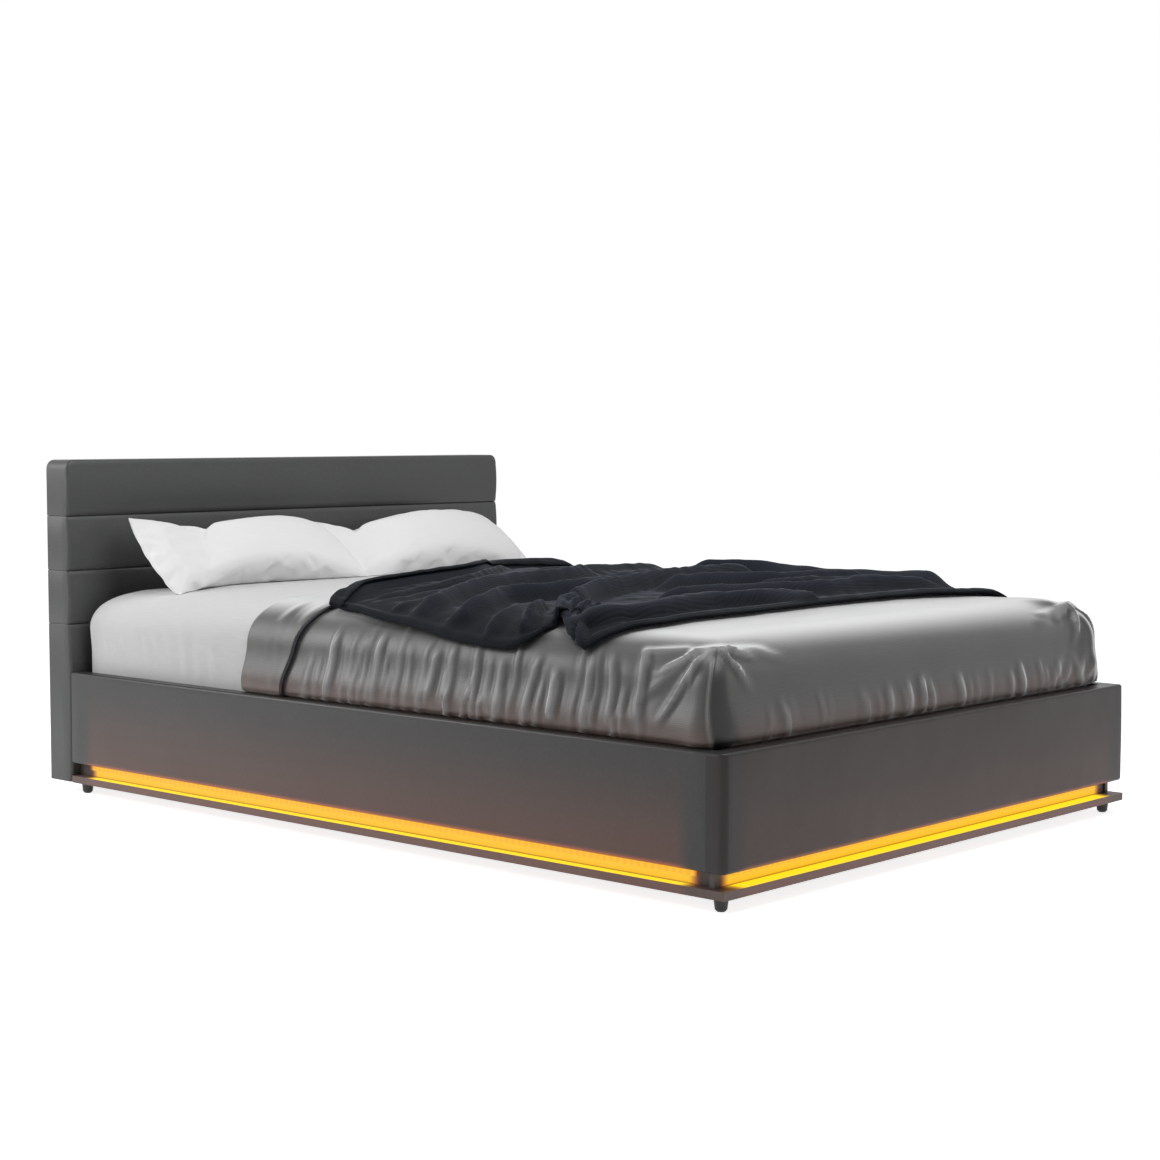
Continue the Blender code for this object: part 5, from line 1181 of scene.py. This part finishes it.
# folds as places (x, y), then width, height and how steep the sides are
throwFolds = (
    (((-0.600, 0.060), (-0.500, 0.070), (-0.413, 0.090), (-0.215, 0.135), (0.004, 0.260), (0.150, 0.350)),
     0.016, 0.014, 2),
    (((-0.672, -0.165), (-0.594, -0.148), (-0.496, -0.100), (-0.311, -0.009), (-0.126, 0.041), (0.050, 0.060),
      (0.240, 0.150)), 0.030, 0.032, 2),
    (((-0.676, -0.240), (-0.619, -0.286), (-0.520, -0.250), (-0.439, -0.214), (-0.336, -0.237),
      (-0.202, -0.234), (0.049, -0.170), (0.250, -0.100)), 0.026, 0.036, 2),
    (((-0.560, -0.480), (-0.490, -0.435), (-0.350, -0.360), (-0.196, -0.288), (0.055, -0.225), (0.328, -0.155),
      (0.600, -0.130)), 0.026, 0.040, 2),
    (((-0.100, -0.330), (0.060, -0.350), (0.207, -0.401), (0.420, -0.420), (0.640, -0.430)), 0.030, 0.036, 2),
    (((-0.640, -0.560), (-0.554, -0.632), (-0.490, -0.656), (-0.270, -0.634), (-0.142, -0.670),
      (0.006, -0.693)), 0.026, 0.030, 4),
    (((-0.350, -0.520), (-0.150, -0.540), (0.117, -0.600), (0.350, -0.600), (0.620, -0.647)), 0.028, 0.032, 2),
    (((-0.625, -0.550), (-0.585, -0.515), (-0.520, -0.449), (-0.430, -0.400)), 0.012, 0.038, 4),
    (((-0.652, -0.590), (-0.610, -0.550), (-0.550, -0.495), (-0.450, -0.440)), 0.009, 0.034, 4),
    (((-0.668, -0.620), (-0.625, -0.582), (-0.560, -0.530), (-0.470, -0.480)), 0.008, 0.028, 4),
    (((-0.674, -0.650), (-0.640, -0.618), (-0.580, -0.565), (-0.480, -0.515)), 0.009, 0.024, 4),
    (((-0.668, -0.490), (-0.620, -0.460), (-0.560, -0.410), (-0.470, -0.350)), 0.013, 0.024, 2),
    (((-0.676, -0.400), (-0.600, -0.370), (-0.500, -0.310)), 0.018, 0.014, 2),
    (((-0.200, 0.060), (0.060, 0.130), (0.312, 0.187), (0.480, 0.220), (0.640, 0.260)), 0.032, 0.017, 2),
    (((0.150, -0.020), (0.380, 0.040), (0.640, 0.060)), 0.030, 0.016, 2),
    (((0.300, -0.280), (0.450, -0.300), (0.640, -0.300)), 0.026, 0.024, 2),
    (((-0.600, 0.010), (-0.430, 0.040), (-0.260, 0.080)), 0.022, 0.008, 2),
    (((-0.640, -0.080), (-0.480, -0.030), (-0.330, 0.030)), 0.016, 0.009, 2),
    (((0.050, -0.480), (0.300, -0.500), (0.640, -0.530)), 0.024, 0.026, 2),
    (((0.400, 0.020), (0.520, -0.050), (0.600, -0.120), (0.615, -0.250), (0.615, -0.430), (0.600, -0.550),
      (0.560, -0.680)), 0.042, 0.046, 2),
)
coverFace = cover["out"] + cover["thick"]


def overFabric(x):
    # Distance from the middle line over the rounded edge, for a place across the bed
    beyond = abs(x) - bed["flat"]
    if beyond <= 0:
        return x
    turn = math.asin(min(1, beyond / (bed["edgeRun"] + coverFace)))
    return math.copysign(bed["flat"] + edgeLength * turn / (math.pi / 2), x)


def throwSurface(s, y, lift):
    # lift metres above the coverlet, s metres from the bed's middle line measured over the fabric
    way = math.copysign(1, s)
    run = abs(s)
    if run <= bed["flat"]:
        return Vector((s, y, topHeight(s, y) + coverFace + lift))
    turn = min((run - bed["flat"]) / edgeLength, 1) * math.pi / 2
    down = max(0, run - bed["flat"] - edgeLength)
    reach = coverFace + lift
    return Vector((way * (bed["flat"] + (bed["edgeRun"] + reach) * math.sin(turn)), y,
                   bed["top"] - bed["edgeRise"] + (bed["edgeRise"] + reach) * math.cos(turn) - down))


def smoothLine(places, count):
    # Evenly spaced points on a soft curve through the places, measured over the fabric
    corners = [Vector((overFabric(x), y, 0)) for x, y in places]
    fine = []
    for i in range(len(corners) - 1):
        before, after = corners[max(i - 1, 0)], corners[min(i + 2, len(corners) - 1)]
        here, there = corners[i], corners[i + 1]
        for step in range(12):
            t = step / 12
            fine.append(0.5 * (2 * here + (there - before) * t
                               + (2 * before - 5 * here + 4 * there - after) * t * t
                               + (3 * here - before - 3 * there + after) * t ** 3))
    fine.append(corners[-1])
    gone = np.cumsum([0.0] + [(b - a).length for a, b in zip(fine, fine[1:])])
    wanted = np.linspace(0, gone[-1], count)
    return np.array([[np.interp(w, gone, [p[k] for p in fine]) for k in (0, 1)] for w in wanted])


def makeThrow():
    # Its edges span the cloth, the folds lift it, and a second layer lies along its head hem
    across, along = 230, 190
    head = smoothLine(throwCloth["headEdge"], across + 1)
    foot = smoothLine(throwCloth["footEdge"], across + 1)
    near = smoothLine(throwCloth["nearEdge"], along + 1)
    far = smoothLine(throwCloth["farEdge"], along + 1)
    u = np.linspace(0, 1, across + 1)[None, :, None]
    v = np.linspace(0, 1, along + 1)[:, None, None]
    flat = (1 - v) * head[None] + v * foot[None] + (1 - u) * near[:, None] + u * far[:, None]
    flat -= (1 - u) * (1 - v) * head[0] + u * (1 - v) * head[-1] + (1 - u) * v * foot[0] + u * v * foot[-1]
    flat = flat.reshape(-1, 2)
    lines = [(smoothLine(places, 26), width * throwCloth["foldWidth"], height * throwCloth["foldHeight"],
              0.15, 0.12 if power == 2 else 0.03, power) for places, width, height, power in throwFolds]
    high = ridgeField(flat, lines, False)
    rolled = ridgeField(flat, [(head - np.array([0, throwCloth["rollGap"]]), throwCloth["rollWidth"],
                                throwCloth["rollHeight"], 0.0, 0.10, 4)], False)
    points, uv, lifts = [], [], []
    cutWide, cutLong = throwCloth["cut"]
    for index, (s, y) in enumerate(flat):
        j, i = divmod(index, across + 1)
        du, dv = i / across, j / along
        rim = min(du * 1.35, (1 - du) * 1.35, dv * 0.95, (1 - dv) * 0.95)
        roll = throwCloth["hemRoll"] * math.exp(-((rim - throwCloth["hemWidth"]) / throwCloth["hemWidth"]) ** 2)
        settled = min(1, rim / 0.05)
        soft = throwCloth["ripple"] * wave((s / 0.11, y / 0.07), 4.4)
        soft += throwCloth["crimp"] * wave((s / 0.035, y / 0.05), 7.1)
        lift = throwCloth["lift"] + roll + max(0, high[index] + soft + 0.003) * (0.35 + 0.65 * settled)
        lift = max(lift, throwCloth["lift"] + rolled[index] * min(1, dv / 0.012))
        # over the cuff, which lies under it near the head end
        overCuff = np.clip((y - 0.085) / 0.05, 0, 1) * np.clip((0.375 - y) / 0.03, 0, 1)
        lift += throwCloth["cuffLift"] * overCuff
        lifts.append(lift)
        points.append(throwSurface(s, y, lift))
        uv.append((du * cutWide, dv * cutLong))
    faces = gridFaces(along + 1, across + 1)
    piece = makePiece("throw_knit", points, faces, materials["knit"], uv)
    # the head hem is turned over once, and its layer lies on the first
    gap = (throwCloth["thick"] + throwCloth["turnedGap"]) / 2
    turned, turnedUv = [], []
    bends = (-90, -45, 0, 45)
    for row, angle in enumerate(bends):
        for i in range(across + 1):
            s, y = flat[i]
            turned.append(throwSurface(s, y + gap * math.cos(math.radians(angle)),
                                       lifts[i] + gap * (1 + math.sin(math.radians(angle)))))
            turnedUv.append((i / across * cutWide, row * 0.003))
    last = throwCloth["turnedRows"]
    for j in range(last + 1):
        for i in range(across + 1):
            index = j * (across + 1) + i
            s, y = flat[index]
            lip = throwCloth["turnedLip"] * math.exp(-(j - last + 1.2) ** 2)
            loose = throwCloth["turnedLoose"] * (1 + wave((s / 0.05, 0.3), 2.2)) * j / last
            turned.append(throwSurface(s, y, lifts[index] + 2 * gap + lip + loose))
            turnedUv.append((i / across * cutWide, len(bends) * 0.003 + j * 0.0055))
    faces = gridFaces(len(bends) + last + 1, across + 1)
    hem = makePiece("throw_turned_hem", turned, faces, materials["knit"], turnedUv)
    outwardFaces(hem)
    addModifier(hem, "SOLIDIFY", {"thickness": throwCloth["thick"] * throwCloth["turnedThick"], "offset": 0.0})
    # the fold values give the knit its painted shade in the hollows and painted highlight on the ridges
    markFolds(piece, np.clip(np.maximum(high, rolled * 0.8) / 0.020 - 0.35, -1, 1))
    outwardFaces(piece)
    addModifier(piece, "SOLIDIFY", {"thickness": throwCloth["thick"], "offset": 0.0})
    return piece, hem


throwPiece, throwHem = makeThrow()
settle(throwPiece, "platform", "navy_knit", "throw_blanket")
settle(throwHem, "platform", "navy_knit", "throw_blanket")
print("throw made")


# Pillows: cotton cases over a soft filling, blown up by the cloth solver. The filling leaves the
# left end of the case slack

pillow = {
    "width": 0.632, "height": 0.270, "tall": 0.232, "loft": 0.040, "seam": 0.0015, "skew": 0.020,
    "spacing": 0.606, "pairX": 0.012, "topGap": 0.075, "sink": 0.014,
    "lean": math.radians(45), "turn": math.radians(1.5),
    "bulge": 0.036, "round": 0.042, "leftPull": 0.018, "notch": 0.010,
    "crumple": 0.0012, "slackCrumple": 0.0040,
    "pressure": 3.0, "frames": 20, "most": 0.036, "quickLoft": 0.062,
}


def pillowStart(u, v, face, seed, slack):
    # The case before it is blown up; slack gives where its filling starts at the bottom and the top
    # on the left, where it ends at the bottom on the right, and how far its left end reaches back
    start = slack[0] + (slack[1] - slack[0]) * (v + 1) / 2
    end = slack[2] + (1.0 - slack[2]) * (v + 1) / 2
    full = max(0, 1 - abs((2 * u - start - end) / (end - start)) ** 2.6) * max(0, 1 - abs(v) ** 2.4)
    loft = pillow["loft"]
    rim = abs(u) > 0.999 or abs(v) > 0.999
    crumple = pillow["crumple"] + pillow["slackCrumple"] * (full < 0.02)
    crumple = 0.0 if rim else crumple * wave((u * 9.0, v * 4.0), seed)
    depth = 0.0 if rim else face * (pillow["seam"] + loft * full ** 0.7) + crumple
    # the slack end bows out low down, and the filled end's top corner is rounded off
    bowed = pillow["bulge"] * math.cos(math.pi / 2 * min(1, abs(v - 0.10) / 1.05)) * max(0, -u) ** 2
    bowed += (pillow["leftPull"] * max(0, -v) + slack[3]) * max(0, -u) ** 2
    depth += 1.3 * slack[3] * max(0, -u) ** 1.5
    corner = pillow["round"] * (max(0, (u - 0.45) / 0.55) * max(0, (v - 0.1) / 0.9)) ** 1.4
    notch = pillow["notch"] * math.exp(-((u - slack[1] + 0.05) / 0.12) ** 2) * max(0, v) ** 3
    return Vector((pillow["width"] / 2 * u * (1 - 0.03 * (1 - v * v)) - bowed - corner, depth,
                   pillow["height"] / 2 * v * (1 - 0.08 * (1 - u * u)) - corner - notch))


def blowUp(piece):
    # Pressure from inside, with no point moving further than the cap
    before = np.array([tuple(vertex.co) for vertex in piece.data.vertices])
    cloth = addModifier(piece, "CLOTH", {})
    fabric = cloth.settings
    fabric.quality = 6
    fabric.mass = 0.25
    fabric.tension_stiffness = fabric.compression_stiffness = 30
    fabric.shear_stiffness = 12
    fabric.bending_stiffness = 0.08
    fabric.use_pressure = True
    fabric.uniform_pressure_force = pillow["pressure"]
    fabric.effector_weights.gravity = 0
    cloth.collision_settings.use_collision = False
    for frameNumber in range(1, pillow["frames"] + 1):
        bpy.context.scene.frame_set(frameNumber)
    bakeModifiers(piece)
    bpy.context.scene.frame_set(1)
    after = np.array([tuple(vertex.co) for vertex in piece.data.vertices])
    move = after - before
    far = np.maximum(np.linalg.norm(move, axis=1), 1e-9)
    after = before + move * np.minimum(1, pillow["most"] / far)[:, None]
    piece.data.vertices.foreach_set("co", after.ravel())


def makePillow(name, centreX, seed, slack):
    # A blown-up case that leans back against the headboard
    columns, rows = 104, 46
    points, faces, uv = [], [], []
    for face in (-1, 1):
        start = len(points)
        for i in range(columns + 1):
            for j in range(rows + 1):
                points.append(pillowStart(2 * i / columns - 1, 2 * j / rows - 1, face, seed, slack))
                uv.append((pillow["width"] * i / columns, pillow["height"] * j / rows))
        for a in gridFaces(columns + 1, rows + 1):
            faces.append(tuple(start + k for k in a))
    piece = makePiece(name, points, faces, materials["pillowCotton"], uv, merge=0.00001)
    bm = bmesh.new()
    bm.from_mesh(piece.data)
    if bm.calc_volume(signed=True) < 0:
        bmesh.ops.reverse_faces(bm, faces=bm.faces)
    bm.to_mesh(piece.data)
    bm.free()
    blowUp(piece)
    lean = Matrix.Rotation(pillow["lean"] - math.pi / 2, 4, "X")
    spin = Matrix.Rotation(pillow["turn"], 4, "Z")
    topY = headFront - pillow["topGap"]
    tall = pillow["tall"]
    reach = tall * math.cos(pillow["lean"])
    base = topHeight(0, topY - reach) + sheetTop - pillow["sink"]
    middle = Vector((centreX, topY - reach / 2, base + tall / 2 * math.sin(pillow["lean"])))
    for vertex in piece.data.vertices:
        point = vertex.co.copy()
        point.x -= pillow["skew"] / 2 * point.z / (tall / 2)
        place = spin @ lean @ point + middle
        place.z = max(place.z, topHeight(place.x, place.y) + sheetTop + 0.0006)
        vertex.co = place
    addModifier(piece, "SUBSURF", {"levels": 1, "render_levels": 1})
    bakeModifiers(piece)
    piece.data.shade_smooth()
    return piece


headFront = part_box("headboard_band_1")[0].y
sheetTop = sheet["out"] + sheet["thick"] + 0.0003
for side, way, slack in (("left", -1, (-0.76, -0.36, 0.94, 0.0)),
                        ("right", 1, (-0.84, -0.62, 0.80, 0.040))):
    piece = makePillow(f"pillow_case_{side}", pillow["pairX"] + way * pillow["spacing"] / 2, 3.0 + way, slack)
    settle(piece, "platform", "white_cotton", f"pillow_{side}")
    print("pillow", side, "made")


# Fixings set out by Geometry Nodes: staples round the back panel, screws along the battens

fixing = {
    "staple": 0.0100, "wire": 0.0005, "stapleStep": 0.055, "stapleEdge": 0.009,
    "head": 0.0045, "headTall": 0.0018, "slot": 0.0009, "recess": 0.0009, "screwStep": 0.160,
    "screwEdge": 0.060, "liftGap": 0.10, "slack": math.radians(6), "seed": 5,
}


def makeScrewHead(material):
    # Pan head with a crossed recess, its underside at the origin
    rings, sides = 5, 16
    points = [(0, 0, fixing["headTall"] - fixing["recess"])]
    for k in range(1, rings + 1):
        share = k / rings
        for j in range(sides):
            angle = math.tau * j / sides
            x, y = fixing["head"] * share * math.cos(angle), fixing["head"] * share * math.sin(angle)
            z = fixing["headTall"] * (1 - share ** 4)
            if share < 0.65 and min(abs(x), abs(y)) < fixing["slot"]:
                z -= fixing["recess"]
            points.append((x, y, z))
    faces = [(0, 1 + j, 1 + (j + 1) % sides) for j in range(sides)]
    for k in range(rings - 1):
        for j in range(sides):
            a, b = 1 + k * sides + j, 1 + k * sides + (j + 1) % sides
            faces.append((a, a + sides, b + sides, b))
    faces.append(tuple(1 + (rings - 1) * sides + j for j in reversed(range(sides))))
    return makePiece("screw_head_shape", points, faces, material)


def makeStaple(material):
    # A staple's crown with the tops of its legs, along x
    half = fixing["staple"] / 2
    line = ((-half, 0, -0.0012), (-half, 0, 0.0001), (-half * 0.93, 0, 0.0004), (0, 0, 0.00045),
            (half * 0.93, 0, 0.0004), (half, 0, 0.0001), (half, 0, -0.0012))
    return makeTube("staple_shape", [line], fixing["wire"], 6, material)


def setOut(name, shape, places, material):
    # Copies of a shape as one piece of the base. places hold a point, the way out of the surface,
    # and the turn about it
    mesh = bpy.data.meshes.new(name)
    mesh.from_pydata([place[0] for place in places], [], [])
    outward = mesh.attributes.new("outward", "FLOAT_VECTOR", "POINT")
    outward.data.foreach_set("vector", [c for place in places for c in place[1]])
    turned = mesh.attributes.new("turned", "FLOAT", "POINT")
    turned.data.foreach_set("value", [place[2] for place in places])
    piece = bpy.data.objects.new(name, mesh)
    bpy.context.scene.collection.objects.link(piece)
    group = bpy.data.node_groups.new("set_out_" + name, "GeometryNodeTree")
    wanted = {"Geometry": "NodeSocketGeometry", "Shape": "NodeSocketObject", "Material": "NodeSocketMaterial",
              "Slack Turn": "NodeSocketFloat", "Seed": "NodeSocketInt"}
    for label, kind in wanted.items():
        group.interface.new_socket(label, in_out="INPUT", socket_type=kind)
    group.interface.new_socket("Geometry", in_out="OUTPUT", socket_type="NodeSocketGeometry")
    add = partial(addNode, group)
    start = add("NodeGroupInput").outputs
    way = add("GeometryNodeInputNamedAttribute", {"data_type": "FLOAT_VECTOR"}, ["outward"])
    turn = add("GeometryNodeInputNamedAttribute", {"data_type": "FLOAT"}, ["turned"])
    least = add("ShaderNodeMath", multiply, [start["Slack Turn"], -1.0])
    chance = add("FunctionNodeRandomValue", {"data_type": "FLOAT"},
                 {2: least, 3: start["Slack Turn"], "Seed": start["Seed"]})
    total = add("ShaderNodeMath", {"operation": "ADD"}, [turn, chance])
    about = add("FunctionNodeEulerToRotation", None, [add("ShaderNodeCombineXYZ", None, {"Z": total})])
    facing = add("FunctionNodeAlignRotationToVector", {"axis": "Z"}, {"Vector": way})
    rotation = add("FunctionNodeRotateRotation", {"rotation_space": "LOCAL"}, [facing, about])
    model = add("GeometryNodeObjectInfo", {"transform_space": "ORIGINAL"}, [start["Shape"]])
    copies = add("GeometryNodeInstanceOnPoints", None,
                 {"Points": start["Geometry"], "Instance": model.outputs["Geometry"], "Rotation": rotation})
    real = add("GeometryNodeRealizeInstances", None, [copies])
    coated = add("GeometryNodeSetMaterial", None, {"Geometry": real, "Material": start["Material"]})
    add("NodeGroupOutput", None, {"Geometry": coated})
    modifier = addModifier(piece, "NODES", {"node_group": group})
    values = {"Shape": shape, "Material": material, "Slack Turn": fixing["slack"], "Seed": fixing["seed"]}
    for item in group.interface.items_tree:
        if item.in_out == "INPUT" and item.name in values:
            modifier[item.identifier] = values[item.name]
    bakeModifiers(piece)
    bpy.data.node_groups.remove(group)
    bpy.data.objects.remove(shape)
    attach(piece, "base")


low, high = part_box("headboard_back_panel")
edge, y = fixing["stapleEdge"], high.y + fixing["wire"] * 0.5
places = []
for z in (low.z + edge, high.z - edge):
    for x in np.arange(low.x + 0.03, high.x - 0.029, fixing["stapleStep"]):
        places.append(((x, y, z), (0, 1, 0), 0.0))
for x in (low.x + edge, high.x - edge):
    for z in np.arange(low.z + 0.045, high.z - 0.044, fixing["stapleStep"]):
        places.append(((x, y, z), (0, 1, 0), math.pi / 2))
setOut("back_panel_staples", makeStaple(materials["steelPin"]), places, materials["steelPin"])

places = []
for name, way in (("side_batten_left", 1), ("side_batten_right", -1)):
    low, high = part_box(name)
    liftLow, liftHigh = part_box(name.replace("side_batten", "lift_base"))
    for y in np.arange(low.y + fixing["screwEdge"], high.y - fixing["screwEdge"] / 2, fixing["screwStep"]):
        if not liftLow.y - fixing["liftGap"] < y < liftHigh.y + fixing["liftGap"]:
            places.append(((high.x if way > 0 else low.x, y, (low.z + high.z) / 2), (way, 0, 0), 0.4))
low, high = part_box("foot_batten")
for x in np.arange(low.x + fixing["screwEdge"], high.x - fixing["screwEdge"] / 2, fixing["screwStep"]):
    places.append(((x, high.y, (low.z + high.z) / 2), (0, 1, 0), 0.4))
setOut("batten_screws", makeScrewHead(materials["steelPin"]), places, materials["steelPin"])
print("fixings made")


# Pull tab: a strap of webbing

strap = {"rows": 25, "columns": 7, "sway": 0.0003, "curl": 0.0004, "thick": 0.0014}
low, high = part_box("pull_tab")
points, uv = [], []
for i in range(strap["rows"]):
    share = i / (strap["rows"] - 1)
    y = (low.y + high.y) / 2 + strap["sway"] * math.sin(share * 9)
    z = high.z + (low.z - high.z) * share
    for j in range(strap["columns"]):
        across = j / (strap["columns"] - 1)
        x = low.x + (high.x - low.x) * across
        points.append((x, y + strap["curl"] * (2 * across - 1) ** 2, z))
        uv.append((x, z))
faces = gridFaces(strap["rows"], strap["columns"])
tab = makePiece("pull_tab_webbing", points, faces, materials["webbing"], uv)
addModifier(tab, "SOLIDIFY", {"thickness": strap["thick"], "offset": 0.0})
settle(tab, "platform", "black_webbing", "pull_tab")
print("pull tab made")


# Floor, light and camera

stage = {"floor": 30.0, "white": "#f4f4f4", "floorGlow": 0.82, "ambient": 0.26}
floorMesh = bpy.data.meshes.new("floor")
far = stage["floor"]
floorMesh.from_pydata([(-far, -far, 0), (far, -far, 0), (far, far, 0), (-far, far, 0)], [], [(0, 1, 2, 3)])
floor = bpy.data.objects.new("floor", floorMesh)
bpy.context.scene.collection.objects.link(floor)
material, add, where = startMaterial("studio_floor")
rays = add("ShaderNodeLightPath").outputs
seen = add("ShaderNodeMath", larger, [rays["Is Camera Ray"], rays["Is Glossy Ray"]])
shader = add("ShaderNodeBsdfPrincipled", None,
             {"Base Color": stage["white"], "Roughness": 0.9, "Specular IOR Level": 0.0,
              "Emission Color": (1, 1, 1, 1),
              "Emission Strength": add("ShaderNodeMath", multiply, [seen, stage["floorGlow"]])})
add("ShaderNodeOutputMaterial", None, [shader])
floorMesh.materials.append(material)
floor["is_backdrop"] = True

world = bpy.data.worlds.new("studio")
bpy.context.scene.world = world
world.use_nodes = True
world.node_tree.nodes.clear()
add = partial(addNode, world.node_tree)
rays = add("ShaderNodeLightPath").outputs
seen = add("ShaderNodeMath", larger, [rays["Is Camera Ray"], rays["Is Glossy Ray"]])
seen = add("ShaderNodeMath", larger, [seen, rays["Is Transmission Ray"]])
strength = add("ShaderNodeMapRange", softly, [seen, 0.0, 1.0, stage["ambient"], 1.0])
background = add("ShaderNodeBackground", None, [(1, 1, 1, 1), strength])
add("ShaderNodeOutputWorld", None, [background])


def addLamp(name, place, target, size, power):
    # A softbox that faces its target
    lamp = bpy.data.lights.new(name, "AREA")
    lamp.shape = "RECTANGLE"
    lamp.size, lamp.size_y = size
    lamp.energy = power
    holder = bpy.data.objects.new(name, lamp)
    holder.location = place
    holder.rotation_euler = (Vector(target) - Vector(place)).to_track_quat("-Z", "Y").to_euler()
    bpy.context.scene.collection.objects.link(holder)


addLamp("side_softbox", (-2.3, 2.1, 1.7), (-0.6, 0.1, 0.35), (1.6, 1.6), 48)
addLamp("top_softbox", (-0.1, -1.0, 2.6), (0, 0.6, 0.5), (1.8, 1.8), 50)

view = {"place": (-3.7619, -3.4290, 0.8683), "down": 3.9294, "heading": -47.887, "lens": 67.853, "sensor": 36}
cameraData = bpy.data.cameras.new("camera")
camera = bpy.data.objects.new("camera", cameraData)
camera.location = view["place"]
camera.rotation_euler = (math.radians(90 - view["down"]), 0, math.radians(view["heading"]))
cameraData.lens = view["lens"]
cameraData.sensor_width = view["sensor"]
bpy.context.scene.collection.objects.link(camera)
bpy.context.scene.camera = camera
bpy.context.scene.view_settings.view_transform = "Standard"

low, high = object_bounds()
print("scene ready")
